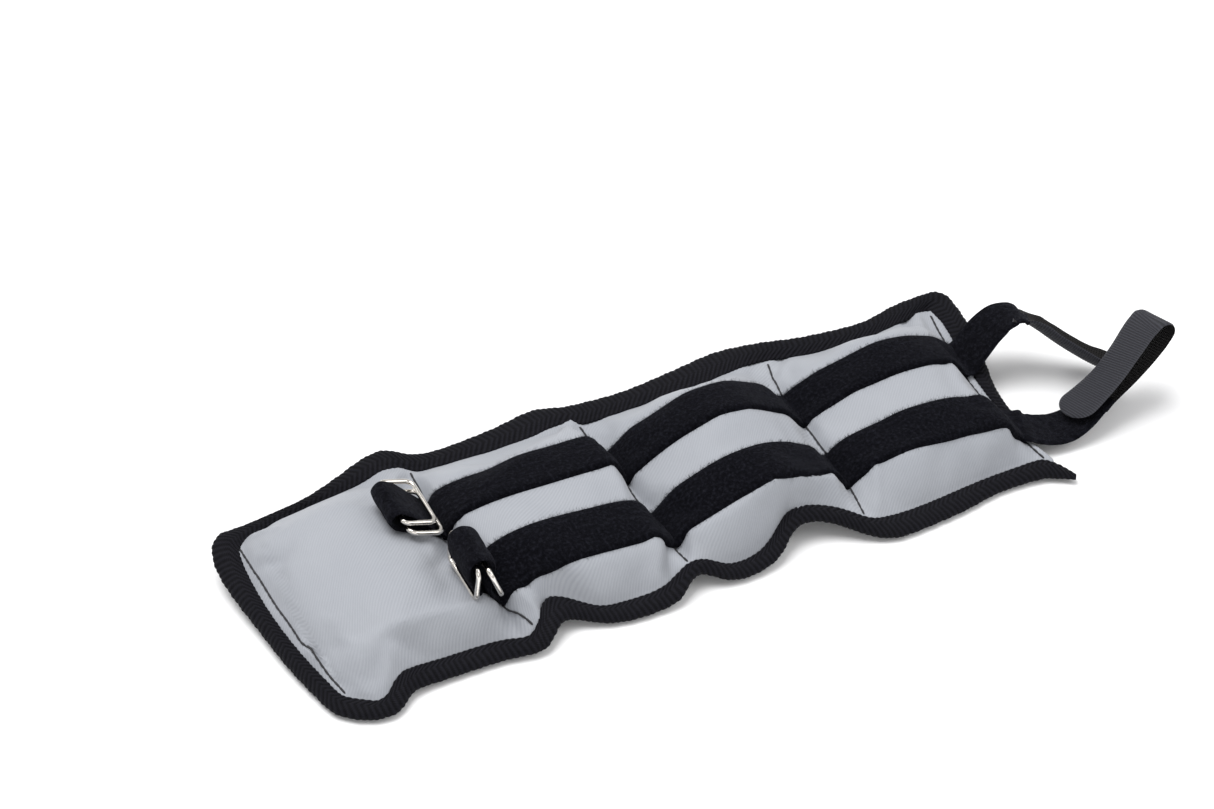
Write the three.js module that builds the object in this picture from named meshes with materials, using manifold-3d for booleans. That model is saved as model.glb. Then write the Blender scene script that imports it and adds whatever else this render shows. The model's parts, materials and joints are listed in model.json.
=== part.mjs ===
// Ankle cuff weight: four hinged pockets of shot in a bound fabric sleeve,
// with two hook-and-loop straps and two pairs of wire rings. Millimetres, +Z up.
import * as THREE from 'three';
import { mergeVertices } from 'three/addons/utils/BufferGeometryUtils.js';
import Module from 'manifold-3d';

const wasm = await Module();
wasm.setup();

// Driving dimensions -------------------------------------------------------

// Sewn seams from the plain end to the strap end. Each crosses the cuff at
// x = mid and leans by `lean` at the edge of the fabric.
const SEAMS = [
  { mid: -147, lean: -5 },
  { mid: -80, lean: -3 },
  { mid: -8.5, lean: -2 },
  { mid: 66, lean: 5 },
  { mid: 143, lean: 4 },
];
const HALF_WIDTH = 47; // from the middle of the cuff to the edge binding
const FLANGE = 8; // fabric held inside the binding
const BINDING_REACH = 10; // visible width of the folded binding tape
const HINGE_Z = 6.5; // height of the seams that the cuff folds on
const SEAM_GAP = 0.7; // from a fold line to the fabric on either side
const BINDING_GAP = 1.7; // from a fold line to the binding on either side
const STRAP_GAP = 1.7; // from a fold line to the strap on either side
const FIRST_STEP = 1.5; // along a piece, from its end at a fold line
const CLEARANCE = 0.3; // between sewn pieces that touch

const CLOTH = 0.9; // thickness of face, back and binding fabric
const PLY_SPACE = 0.15; // half the space between face and back at the flange
const PLY_ABOVE_HINGE = 0.55; // so that a folding pocket's back clears its neighbour
const FLANGE_DROP = 4.2; // how far an edge sags between two seams
const SLOPE_RUN = 8.5; // from a fold line to where the back lies flat
const SAG_START = 33; // from the middle of the cuff to where its edges start to sag
const REST_HALF = 42; // half the width that lies flat on the table
const CROWNS = [13.5, 14.5, 18.5, 14]; // rise of each pocket above its seams
const CROWN_POWER = 0.9; // below 1 it fills a pocket out towards its seams
const EDGE_POWER = 6; // the higher, the flatter a pocket is across its middle
const EDGE_ROUND = 0.8;

const BAG_INSET = 6; // from a seam or an edge to the inner bag
const BAG_WALL = 0.5;
const BAG_SPACE = { top: 1.2, bottom: 0.9 }; // from the bag to the face and back fabric
const BAG_MOUTH = { width: 16, depth: 6, height: 2.4, drop: 1 }; // slot that the shot goes in by

const STRAP_WIDTH = 20;
const STRAP_THICK = 1.4;
const STRAP_LIFT = 0.6; // from the face fabric up to the strap
const STRAPS = { rear: 14.7, front: -22.8 }; // y of each strap's middle
const DRIFTS = { rear: -2.5, front: -5 }; // sideways drift of each strap along the last pocket

const TAPE_WIDTH = 19.5;
const TAPE_THICK = 1;

const KEEPER_WIDTH = 19.4;
const KEEPER_THICK = 1.4;
const WIRE = 2.1; // diameter of the ring wire
const RING_INSIDE = 22.3; // clear width of a ring, across the strap
const RING_THROW = 13.4; // from the held bar to the free bar
const RING_CORNER = 2.6;
const RING_OFFSET = 1.15; // sideways, so that two rings pass each other
const BUTT_GAP = 0.3; // joint in the ring wire, inside the keeper

// `ends` is the distance from the binding to each end of a row.
const THREAD = { width: 0.7, thick: 0.3, lift: 0.15, ends: 0.7 };
const ROW_OFFSET = 2.2; // from a seam's fold line to its stitching
const END_ROW_OFFSET = 1;

// Materials ----------------------------------------------------------------

const paint = (color, roughness, metalness = 0) =>
  new THREE.MeshStandardMaterial({ color, roughness, metalness });
const LOOKS = {
  face: () => paint('#b7bcc4', 0.75),
  back: () => paint('#24242a', 0.85),
  bag: () => paint('#6a6c70', 0.8),
  shot: () => paint('#55565a', 0.5, 0.6),
  binding: () => paint('#1d1d22', 0.8),
  velour: () => paint('#15151a', 0.95),
  tape: () => paint('#3c3d45', 0.7),
  wire: () => paint('#c9c6c0', 0.25, 1),
  thread: () => paint('#1a1a1e', 0.8),
};

// Solids -------------------------------------------------------------------

const cuff = new THREE.Group();

function add(name, geometry, look) {
  const mesh = new THREE.Mesh(geometry, LOOKS[look]());
  mesh.name = name;
  cuff.add(mesh);
}

// A box with its corners' fractions (a, b, c) sent to new places.
function bentBox(na, nb, nc, place) {
  const geometry = new THREE.BoxGeometry(1, 1, 1, na, nb, nc);
  const corners = geometry.attributes.position;
  for (let i = 0; i < corners.count; i++) {
    const at = place(corners.getX(i) + 0.5, corners.getY(i) + 0.5, corners.getZ(i) + 0.5);
    corners.setXYZ(i, at.x, at.y, at.z);
  }
  geometry.computeVertexNormals();
  return geometry;
}

// The value at fraction t of a list of evenly numbered stations.
function station(list, t) {
  const place = t * (list.length - 1);
  const low = Math.min(Math.floor(place), list.length - 2);
  return THREE.MathUtils.lerp(list[low], list[low + 1], place - low);
}

function toSolid(geometry) {
  geometry.deleteAttribute('normal');
  geometry.deleteAttribute('uv');
  const merged = mergeVertices(geometry);
  const mesh = new wasm.Mesh({
    numProp: 3,
    vertProperties: new Float32Array(merged.attributes.position.array),
    triVerts: new Uint32Array(merged.index.array),
  });
  return new wasm.Manifold(mesh);
}

function toGeometry(solid) {
  const mesh = solid.getMesh();
  const geometry = new THREE.BufferGeometry();
  geometry.setAttribute('position', new THREE.BufferAttribute(mesh.vertProperties, 3));
  geometry.setIndex(new THREE.BufferAttribute(mesh.triVerts, 1));
  geometry.computeVertexNormals();
  return geometry;
}

// Shape of the cuff --------------------------------------------------------

const acrossFabric = (y) => THREE.MathUtils.clamp(y / HALF_WIDTH, -1, 1);
const seamX = (seam, y) => SEAMS[seam].mid + SEAMS[seam].lean * acrossFabric(y);

// How far a point lies inside a pocket, from its nearer seam.
const insideSeam = (pocket, x, y) => Math.min(x - seamX(pocket - 1, y), seamX(pocket, y) - x);

// From 0 at a fold line to 1 where the back lies flat.
const awayFromSeam = (inside) =>
  THREE.MathUtils.clamp((inside - SEAM_GAP) / (SLOPE_RUN - SEAM_GAP), 0, 1);

// The strap end sags to the table towards the front edge.
function strapEndSag(pocket, x, y) {
  if (pocket !== SEAMS.length - 1) return 0;
  const frontward = THREE.MathUtils.clamp(-y / SAG_START, 0, 1);
  return FLANGE_DROP * frontward * (1 - awayFromSeam(seamX(pocket, y) - x));
}

// Height of the plane between the face and the back where they are sewn.
function plyZ(pocket, x, y) {
  const outward = THREE.MathUtils.clamp((Math.abs(y) - SAG_START) / (HALF_WIDTH - SAG_START), 0, 1);
  const edgeSag = FLANGE_DROP * awayFromSeam(insideSeam(pocket, x, y)) * outward;
  return HINGE_Z + PLY_ABOVE_HINGE - edgeSag - strapEndSag(pocket, x, y);
}

function crown(pocket, x, y) {
  const width = seamX(pocket, y) - seamX(pocket - 1, y);
  const start = seamX(pocket - 1, y) + SEAM_GAP;
  const along = THREE.MathUtils.clamp((x - start) / (width - 2 * SEAM_GAP), 0, 1);
  const across = Math.min(Math.abs(y) / HALF_WIDTH, 1);
  const lengthwise = Math.sin(Math.PI * along) ** CROWN_POWER;
  return CROWNS[pocket - 1] * lengthwise * (1 - across ** EDGE_POWER) ** EDGE_ROUND;
}

const faceZ = (pocket, x, y) => plyZ(pocket, x, y) + PLY_SPACE + CLOTH + crown(pocket, x, y);

// Underside of the cuff: flat on the table, rising to the seams and edges.
function backZ(pocket, x, y) {
  const edge = plyZ(pocket, x, y) - PLY_SPACE - CLOTH;
  const inner = edge * (1 - awayFromSeam(insideSeam(pocket, x, y)));
  const outward = THREE.MathUtils.clamp((Math.abs(y) - REST_HALF) / (HALF_WIDTH - REST_HALF), 0, 1);
  return THREE.MathUtils.lerp(inner, edge, outward);
}

// Stations from -y to +y, through 0, for a list that runs inwards.
function bothSides(list) {
  return [...list.map((y) => -y), 0, ...list.toReversed()];
}

// X at fraction `a` along a pocket, with the given steps in from each seam. A
// piece stops `gap` short of a fold line and reaches past the cuff's end seams.
function alongPocket(pocket, a, y, gap, reach, steps) {
  const left = seamX(pocket - 1, y);
  const width = seamX(pocket, y) - left;
  const inward = [gap, gap + FIRST_STEP];
  const opening = pocket === 1 && reach ? [-reach, SEAM_GAP] : inward;
  const closing = pocket === SEAMS.length - 1 && reach ? [SEAM_GAP, -reach] : inward.toReversed();
  const far = [...steps.toReversed(), ...closing].map((step) => width - step);
  return left + station([...opening, ...steps, width / 2, ...far], a);
}

const FACE_STEPS = [5, SLOPE_RUN, 16, 26];
const BACK_STEPS = [SLOPE_RUN];
const countSteps = (steps) => 2 * steps.length + 4;
const FABRIC_HALF = HALF_WIDTH + FLANGE;
const FACE_Y = bothSides([FABRIC_HALF, HALF_WIDTH, 44, 39, SAG_START, 14]);
const BACK_Y = bothSides([FABRIC_HALF, HALF_WIDTH, REST_HALF, SAG_START]);

function facePanel(pocket) {
  return bentBox(countSteps(FACE_STEPS), FACE_Y.length - 1, 1, (a, b, c) => {
    const y = station(FACE_Y, b);
    const x = alongPocket(pocket, a, y, SEAM_GAP, FLANGE, FACE_STEPS);
    return { x, y, z: faceZ(pocket, x, y) - CLOTH * (1 - c) };
  });
}

function backPanel(pocket) {
  return bentBox(countSteps(BACK_STEPS), BACK_Y.length - 1, 1, (a, b, c) => {
    const y = station(BACK_Y, b);
    const x = alongPocket(pocket, a, y, SEAM_GAP, FLANGE, BACK_STEPS);
    return { x, y, z: backZ(pocket, x, y) + CLOTH * c };
  });
}

// A pillow inside a pocket, `inset` from the bag's outer wall.
function pillow(pocket, inset) {
  const depth = BAG_INSET + inset;
  return bentBox(6, 6, 1, (a, b, c) => {
    const y = THREE.MathUtils.lerp(-HALF_WIDTH + depth, HALF_WIDTH - depth, b);
    const x = THREE.MathUtils.lerp(seamX(pocket - 1, y) + depth, seamX(pocket, y) - depth, a);
    const top = faceZ(pocket, x, y) - CLOTH - BAG_SPACE.top - inset;
    const bottom = backZ(pocket, x, y) + CLOTH + BAG_SPACE.bottom + inset;
    return { x, y, z: THREE.MathUtils.lerp(bottom, top, c) };
  });
}

function weightBag(pocket) {
  const shell = toSolid(pillow(pocket, 0)).subtract(toSolid(pillow(pocket, BAG_WALL)));
  const mouth = new THREE.BoxGeometry(BAG_MOUTH.width, BAG_MOUTH.depth, BAG_MOUTH.height);
  const middle = (SEAMS[pocket - 1].mid + SEAMS[pocket].mid) / 2;
  mouth.translate(middle, HALF_WIDTH - BAG_INSET, HINGE_Z - BAG_MOUTH.drop);
  return toGeometry(shell.subtract(toSolid(mouth)));
}

// Binding ------------------------------------------------------------------

// The folded tape's section: [reach from the fabric's edge, side of its middle plane].
const FOLD_HEIGHT = PLY_SPACE + CLOTH + CLEARANCE;
const FOLD_TURN = 8.6; // reach at which the tape starts to turn back
const FOLD_REACH = BINDING_REACH - 0.4; // inside of the tape where it turns back
const FOLD_SECTION = [
  [0, 1], [FOLD_TURN, 1], [FOLD_REACH, 0.5], [FOLD_REACH, -0.5], [FOLD_TURN, -1], [0, -1],
];
const FOLD_BULGE = 0.4; // extra reach of the tape's outside where it turns back

// A point of the folded tape at fraction b round its section, c out from its inside.
function bindingPoint(b, c) {
  const reach = station(FOLD_SECTION.map((p) => p[0]), b);
  const side = station(FOLD_SECTION.map((p) => p[1]), b);
  const beyond = reach > FOLD_TURN ? FOLD_BULGE * c : 0;
  return { reach: reach + beyond, rise: side * (FOLD_HEIGHT + CLOTH * c) };
}

function edgeBinding(pocket, side) {
  return bentBox(countSteps(BACK_STEPS), FOLD_SECTION.length - 1, 1, (a, b, c) => {
    const { reach, rise } = bindingPoint(side > 0 ? b : 1 - b, c);
    const y = side * (HALF_WIDTH + CLEARANCE + reach);
    const x = alongPocket(pocket, a, y, BINDING_GAP, BINDING_REACH, BACK_STEPS);
    return { x, y, z: plyZ(pocket, x, y) + rise };
  });
}

const END_Y = bothSides([HALF_WIDTH - 2 * CLEARANCE, SAG_START]);

function endBinding(seam, side) {
  const pocket = Math.max(seam, 1);
  return bentBox(FOLD_SECTION.length - 1, END_Y.length - 1, 1, (a, b, c) => {
    const { reach, rise } = bindingPoint(side > 0 ? a : 1 - a, c);
    const y = station(END_Y, b);
    const x = seamX(seam, y) + side * (CLEARANCE + reach);
    return { x, y, z: plyZ(pocket, seamX(seam, y), y) + rise };
  });
}

// Straps -------------------------------------------------------------------

function sewnStrap(pocket, strap) {
  const drift = pocket === SEAMS.length - 1 ? DRIFTS[strap] : 0;
  return bentBox(countSteps(FACE_STEPS), 4, 1, (a, b, c) => {
    const y = STRAPS[strap] + drift * a + STRAP_WIDTH * (b - 0.5);
    const x = alongPocket(pocket, a, y, STRAP_GAP, 0, FACE_STEPS);
    return { x, y, z: faceZ(pocket, x, y) + STRAP_LIFT + STRAP_THICK * c };
  });
}

// A flat band along a curve. Each knot is [x, y, z, tilt]: tilt is how far, in
// degrees, the band's rear edge hangs below its front edge.
function band(knots, width, thick, steps) {
  const points = knots.map(([x, y, z]) => new THREE.Vector3(x, y, z));
  const curve = new THREE.CatmullRomCurve3(points, false, 'centripetal');
  const tilts = knots.map((k) => THREE.MathUtils.degToRad(k[3]));
  return bentBox(steps, 1, 1, (t, b, c) => {
    const along = curve.getTangent(t);
    const tilt = station(tilts, t);
    const across = new THREE.Vector3(0, Math.cos(tilt), -Math.sin(tilt));
    across.addScaledVector(along, -across.dot(along)).normalize();
    const out = new THREE.Vector3().crossVectors(along, across);
    const at = curve.getPoint(t).addScaledVector(across, width * (b - 0.5));
    return at.addScaledVector(out, thick * (c - 0.5));
  });
}

const REAR_FREE = [
  [144.4, 12.2, 10.8, 0], [150, 12.2, 17.5, 2], [159, 12.6, 24, 8],
  [167, 13.3, 26.6, 18], [173, 12.6, 25.3, 28],
];
const REAR_TAPE = [
  [173.8, 12.1, 24.5, 30], [178, 9.3, 20.4, 36], [186, 4, 15.4, 40],
  [195, -0.5, 13.2, 40], [203, -4, 13, 38],
];
const FRONT_FREE = [
  [142.5, -27.8, 9.4, 0], [147, -28.9, 8.8, 0], [153, -30.3, 7.5, 0], [159, -31.7, 4.6, 2],
  [165, -33, 3.2, 6], [172, -32.3, 3.9, 8], [178, -31.5, 5.9, 10],
];
const FRONT_TAPE = [
  [178.7, -31.4, 6.2, 10], [190, -29, 12, 13], [199, -27, 19.5, 14], [206, -25, 25, 15],
  [209.6, -23.5, 29.6, 16], [208.8, -23, 32.5, 17], [207.2, -22.9, 33.6, 18], [205.8, -22.9, 33.8, 18],
];
const FRONT_TAB = [
  [204.2, -22.9, 33.8, 18], [203, -22.9, 33.6, 18], [201.5, -23.1, 31.4, 20],
  [192, -25.8, 22, 24], [184, -28.2, 15.6, 22], [175, -30, 10, 16], [166, -31, 6.3, 10],
];

// Keepers and rings --------------------------------------------------------

// Middle line of each keeper's velour, as [x, z] from one end of its loop to the other.
const KEEPER_LOOPS = {
  rear: [
    [-83.4, 11.9], [-89.5, 16.2], [-96.5, 20.1], [-102, 23.8], [-103.8, 28.2], [-100.8, 30.9],
    [-96.2, 28.2], [-90, 20.9], [-84.8, 14.8], [-80.8, 11.4],
  ],
  front: [
    [-82.2, 12.4], [-85, 16], [-87.6, 21], [-89.4, 27.2], [-88.8, 32.2], [-84.7, 34.1],
    [-80.5, 31.6], [-80, 26.8], [-81.5, 21], [-81.6, 16], [-78.9, 11.7],
  ],
};

// Each ring: its keeper, the held bar's [x, z], the way it lies, and its side of the pair.
const RINGS = [
  { name: 'rear_ring_upper', strap: 'rear', bar: [-99.7, 27.3], angle: -20, side: 1 },
  { name: 'rear_ring_lower', strap: 'rear', bar: [-98, 23.6], angle: -21, side: -1 },
  { name: 'front_ring_left', strap: 'front', bar: [-86.4, 30.2], angle: -97, side: 1 },
  { name: 'front_ring_right', strap: 'front', bar: [-82.9, 29.8], angle: -72, side: -1 },
];

function keeper(strap) {
  const knots = KEEPER_LOOPS[strap].map(([x, z]) => [x, STRAPS[strap], z, 0]);
  return band(knots, KEEPER_WIDTH, KEEPER_THICK, 16);
}

// A rectangle of wire with round corners, butted in the middle of its held bar.
// The held bar lies on the Y axis and the free bar at x = RING_THROW.
function wireRing() {
  const half = (RING_INSIDE + WIRE) / 2;
  const corner = RING_CORNER;
  const path = new THREE.CurvePath();
  const at = (x, y) => new THREE.Vector3(x, y, 0);
  const straight = (from, to) => path.add(new THREE.LineCurve3(from, to));
  const bend = (from, via, to) => path.add(new THREE.QuadraticBezierCurve3(from, via, to));
  straight(at(0, BUTT_GAP / 2), at(0, half - corner));
  bend(at(0, half - corner), at(0, half), at(corner, half));
  straight(at(corner, half), at(RING_THROW - corner, half));
  bend(at(RING_THROW - corner, half), at(RING_THROW, half), at(RING_THROW, half - corner));
  straight(at(RING_THROW, half - corner), at(RING_THROW, corner - half));
  bend(at(RING_THROW, corner - half), at(RING_THROW, -half), at(RING_THROW - corner, -half));
  straight(at(RING_THROW - corner, -half), at(corner, -half));
  bend(at(corner, -half), at(0, -half), at(0, corner - half));
  straight(at(0, corner - half), at(0, -BUTT_GAP / 2));
  const section = new THREE.Shape();
  section.absarc(0, 0, WIRE / 2, 0, 2 * Math.PI);
  return new THREE.ExtrudeGeometry(section, { steps: 28, curveSegments: 4, extrudePath: path });
}

function addRing({ name, strap, bar, angle, side }) {
  const mesh = new THREE.Mesh(wireRing(), LOOKS.wire());
  mesh.name = name;
  mesh.position.set(bar[0], STRAPS[strap] + side * RING_OFFSET, bar[1]);
  mesh.rotation.y = -THREE.MathUtils.degToRad(angle);
  cuff.add(mesh);
}

// Stitching ----------------------------------------------------------------

// A row of thread along a seam, on one side of its fold line.
function stitchRow(seam, offset, pocket) {
  return bentBox(1, FACE_Y.length - 3, 1, (a, b, c) => {
    const y = (1 - THREAD.ends / HALF_WIDTH) * station(FACE_Y.slice(1, -1), b);
    const x = seamX(seam, y) + offset + THREAD.width * (a - 0.5);
    return { x, y, z: faceZ(pocket, x, y) + THREAD.lift + THREAD.thick * c };
  });
}

// Assembly -----------------------------------------------------------------

for (let pocket = 1; pocket < SEAMS.length; pocket++) {
  add(`face_panel_${pocket}`, facePanel(pocket), 'face');
  add(`back_panel_${pocket}`, backPanel(pocket), 'back');
  add(`weight_bag_${pocket}`, weightBag(pocket), 'bag');
  add(`shot_fill_${pocket}`, pillow(pocket, BAG_WALL + CLEARANCE), 'shot');
  add(`rear_binding_${pocket}`, edgeBinding(pocket, 1), 'binding');
  add(`front_binding_${pocket}`, edgeBinding(pocket, -1), 'binding');
}
add('left_end_binding', endBinding(0, -1), 'binding');
add('right_end_binding', endBinding(SEAMS.length - 1, 1), 'binding');

for (const strap of Object.keys(STRAPS)) {
  for (let pocket = 2; pocket < SEAMS.length; pocket++) {
    add(`${strap}_strap_${pocket}`, sewnStrap(pocket, strap), 'velour');
  }
  add(`${strap}_keeper`, keeper(strap), 'velour');
}
add('rear_strap_free', band(REAR_FREE, STRAP_WIDTH, STRAP_THICK, 10), 'velour');
add('front_strap_free', band(FRONT_FREE, STRAP_WIDTH, STRAP_THICK, 12), 'velour');
add('rear_hook_tape', band(REAR_TAPE, TAPE_WIDTH, TAPE_THICK, 10), 'tape');
add('front_hook_tape', band(FRONT_TAPE, TAPE_WIDTH, TAPE_THICK, 18), 'tape');
add('front_hook_tab', band(FRONT_TAB, TAPE_WIDTH, TAPE_THICK, 12), 'tape');
RINGS.forEach(addRing);

// Each row of thread: its seam, its side of the fold line and its pocket.
const STITCH_ROWS = {
  end_stitch_left: [0, END_ROW_OFFSET, 1],
  seam_stitch_1: [1, ROW_OFFSET, 2],
  seam_stitch_2: [2, -ROW_OFFSET, 2],
  seam_stitch_3: [3, ROW_OFFSET, 4],
  end_stitch_right: [4, -END_ROW_OFFSET, 4],
};
for (const [name, row] of Object.entries(STITCH_ROWS)) add(name, stitchRow(...row), 'thread');

// The origin is the middle of the cuff's box, on the surface it lies on.
const box = new THREE.Box3().setFromObject(cuff);
const middle = box.getCenter(new THREE.Vector3());
cuff.position.set(-middle.x, -middle.y, -box.min.z);
cuff.updateMatrixWorld(true);

export default cuff;
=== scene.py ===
import json
import math

import bpy
import numpy as np
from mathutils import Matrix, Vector


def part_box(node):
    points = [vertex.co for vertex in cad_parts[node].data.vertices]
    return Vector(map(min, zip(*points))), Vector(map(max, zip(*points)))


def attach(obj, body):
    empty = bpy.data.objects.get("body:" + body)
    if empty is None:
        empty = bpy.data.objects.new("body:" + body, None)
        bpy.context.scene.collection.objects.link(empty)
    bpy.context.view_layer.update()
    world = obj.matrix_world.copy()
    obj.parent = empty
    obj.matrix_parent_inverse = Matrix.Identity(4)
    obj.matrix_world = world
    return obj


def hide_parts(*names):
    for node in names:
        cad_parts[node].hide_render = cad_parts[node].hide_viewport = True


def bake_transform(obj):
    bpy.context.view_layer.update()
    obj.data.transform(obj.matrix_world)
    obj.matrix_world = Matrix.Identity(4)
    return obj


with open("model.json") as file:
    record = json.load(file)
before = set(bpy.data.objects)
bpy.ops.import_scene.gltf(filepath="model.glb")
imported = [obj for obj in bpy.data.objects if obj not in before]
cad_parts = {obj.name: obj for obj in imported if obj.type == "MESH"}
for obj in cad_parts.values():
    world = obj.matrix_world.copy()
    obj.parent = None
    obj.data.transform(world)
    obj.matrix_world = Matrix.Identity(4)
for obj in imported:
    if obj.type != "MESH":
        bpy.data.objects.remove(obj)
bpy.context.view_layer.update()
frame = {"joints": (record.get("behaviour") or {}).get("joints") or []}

MM = 0.001

# Shapes are in millimetres in a frame whose x = -8.5 is the middle seam, and are moved and scaled
# into the CAD's frame when a mesh is made.
MIDDLE_SEAM_X = -8.5
SEAM_2 = (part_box("face_panel_2")[1].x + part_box("face_panel_3")[0].x) / 2 / MM
SHIFT = np.array([SEAM_2 - MIDDLE_SEAM_X, 0.0, 0.0])
JOINTS = {joint["name"]: joint for joint in frame["joints"]}

STRAP_WIDTH = 20.0
STRAP_THICK = 1.9
FLANGE = 2.4  # of the face fabric under the binding


def to_frame(point):
    return (np.asarray(point, float) + SHIFT) * MM


# Curves ----------------------------------------------------------------------

def hermite(t, h, y0, y1, slope0, slope1):
    """A cubic from y0 to y1 over a step of h, with these slopes at its ends."""
    return ((2 * t**3 - 3 * t**2 + 1) * y0 + (t**3 - 2 * t**2 + t) * h * slope0
            + (3 * t**2 - 2 * t**3) * y1 + (t**3 - t**2) * h * slope1)


def pchip(points):
    """A smooth curve through (x, y) points that doesn't swing past them."""
    points = np.array(sorted(points), float)
    x, y = points[:, 0], points[:, 1]
    h = np.diff(x)
    d = np.diff(y) / h
    w1, w2 = 2 * h[1:] + h[:-1], h[1:] + 2 * h[:-1]
    with np.errstate(divide="ignore", invalid="ignore"):
        mean = (w1 + w2) / (w1 / d[:-1] + w2 / d[1:])
    slope = np.zeros(len(x))
    slope[1:-1] = np.where(d[:-1] * d[1:] > 0, mean, 0)
    slope[0] = end_slope(h[0], h[1], d[0], d[1])
    slope[-1] = end_slope(h[-1], h[-2], d[-1], d[-2])

    def at(value):
        value = np.clip(value, x[0], x[-1])
        i = np.clip(np.searchsorted(x, value, side="right") - 1, 0, len(x) - 2)
        return hermite((value - x[i]) / h[i], h[i], y[i], y[i + 1], slope[i], slope[i + 1])
    return at


def end_slope(h0, h1, d0, d1):
    slope = ((2 * h0 + h1) * d0 - h0 * d1) / (h0 + h1)
    if slope * d0 <= 0:
        return 0.0
    return 3 * d0 if d0 * d1 < 0 and abs(slope) > abs(3 * d0) else slope


def spline(knots, count):
    """A smooth line of `count` evenly spaced points through knots of any number of columns."""
    knots = np.array(knots, float)
    chords = np.linalg.norm(np.diff(knots[:, :3], axis=0), axis=1) ** 0.5
    at = np.concatenate([[0], np.cumsum(chords)])
    slopes = np.gradient(knots, at, axis=0)
    fine = np.linspace(0, at[-1], 40 * len(knots))
    i = np.clip(np.searchsorted(at, fine, side="right") - 1, 0, len(at) - 2)
    h = (at[i + 1] - at[i])[:, None]
    t = (fine - at[i])[:, None] / h
    return evenly(hermite(t, h, knots[i], knots[i + 1], slopes[i], slopes[i + 1]), count)


def lengths(line):
    return np.concatenate([[0], np.cumsum(np.linalg.norm(np.diff(line[:, :3], axis=0), axis=1))])


def evenly(line, count):
    along = lengths(line)
    wanted = np.linspace(0, along[-1], count)
    return np.stack([np.interp(wanted, along, column) for column in line.T], axis=1)


def smoothstep(t):
    t = np.clip(t, 0, 1)
    return t * t * (3 - 2 * t)


def unit(v):
    return v / np.maximum(np.linalg.norm(v, axis=-1, keepdims=True), 1e-12)


def blur(values, sigma, axis):
    """Gaussian blur along one axis of a grid, with the ends repeated."""
    reach = int(3 * sigma) + 1
    weights = np.exp(-0.5 * (np.arange(-reach, reach + 1) / sigma) ** 2)
    weights /= weights.sum()
    spread = [(reach, reach) if k == axis else (0, 0) for k in range(values.ndim)]
    padded = np.pad(values, spread, mode="edge")
    out = np.zeros_like(values)
    for k, weight in enumerate(weights):
        out += weight * np.take(padded, np.arange(values.shape[axis]) + k, axis=axis)
    return out


def soften(grid, along, across):
    return blur(blur(grid, along, 0), across, 1)


# Meshes ----------------------------------------------------------------------

def add(name, data):
    obj = bpy.data.objects.new(name, data)
    bpy.context.scene.collection.objects.link(obj)
    return obj


def grid_faces(nu, nv, closed_u=False, closed_v=False):
    u, v = np.arange(nu if closed_u else nu - 1), np.arange(nv if closed_v else nv - 1)
    u, v = [k.ravel() for k in np.meshgrid(u, v, indexing="ij")]
    u1, v1 = (u + 1) % nu, (v + 1) % nv
    return np.stack([u * nv + v, u1 * nv + v, u1 * nv + v1, u * nv + v1], axis=1).tolist()


def new_object(name, points, faces, materials, cloth=None, normals=None, slots=None):
    """A mesh from points in millimetres. `cloth` is each point's place on the flat cloth, in mm."""
    mesh = bpy.data.meshes.new(name)
    mesh.from_pydata(to_frame(points).reshape(-1, 3), [], faces)
    if cloth is not None:
        layer = mesh.attributes.new("cloth", "FLOAT_VECTOR", "POINT")
        layer.data.foreach_set("vector", np.asarray(cloth, np.float32).ravel())
    mesh.shade_smooth()
    mesh.update()
    if normals is not None:
        mesh.normals_split_custom_set_from_vertices(normals.reshape(-1, 3).tolist())
    for material in materials:
        mesh.materials.append(material)
    if slots is not None:
        mesh.polygons.foreach_set("material_index", np.asarray(slots, np.int32))
    return add(name, mesh)


def stands_for(piece, slot, *nodes):
    """Hides these CAD nodes, which the piece stands for. Neither `piece` nor `slot` is read."""
    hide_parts(*nodes)


def blend_over(piece, direction):
    """Bakes the piece's transform into its mesh."""
    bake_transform(piece)


def grid_normals(grid):
    return unit(np.cross(np.gradient(grid, axis=0), np.gradient(grid, axis=1)))


def ring_normals(ring):
    """Outward normals of a strip made of closed rings, [ring, point]."""
    return unit(np.cross(np.gradient(ring, axis=0), np.roll(ring, -1, 1) - np.roll(ring, 1, 1)))


def capped(nu, nv, start=True, end=True):
    """Faces of a strip of closed rings, with a cap at each true end of it."""
    faces = grid_faces(nu, nv, closed_v=True)
    if start:
        faces.append(list(range(nv))[::-1])
    if end:
        faces.append([(nu - 1) * nv + k for k in range(nv)])
    return faces


def tube(line, radius, sides, closed=False):
    """Points and faces of a round tube along a line; `radius` is one number or one for each point."""
    if closed:
        tangent = unit(np.roll(line, -1, 0) - np.roll(line, 1, 0))
    else:
        tangent = unit(np.gradient(line, axis=0))
    side = np.zeros_like(line)
    axis = np.array([0, 0, 1.0]) if abs(tangent[0][2]) < 0.9 else np.array([1.0, 0, 0])
    last = unit(np.cross(tangent[0], axis))
    for i, t in enumerate(tangent):
        last = unit(last - np.dot(last, t) * t)
        side[i] = last
    other = np.cross(tangent, side)
    angle = np.linspace(0, 2 * np.pi, sides, endpoint=False)
    radius = np.broadcast_to(radius, len(line))[:, None, None]
    ring = np.cos(angle)[None, :, None] * side[:, None] + np.sin(angle)[None, :, None] * other[:, None]
    points = (line[:, None] + radius * ring).reshape(-1, 3)
    if closed:
        return points, grid_faces(len(line), sides, closed_u=True, closed_v=True)
    return points, capped(len(line), sides)


# Shape of the cuff -----------------------------------------------------------

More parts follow.
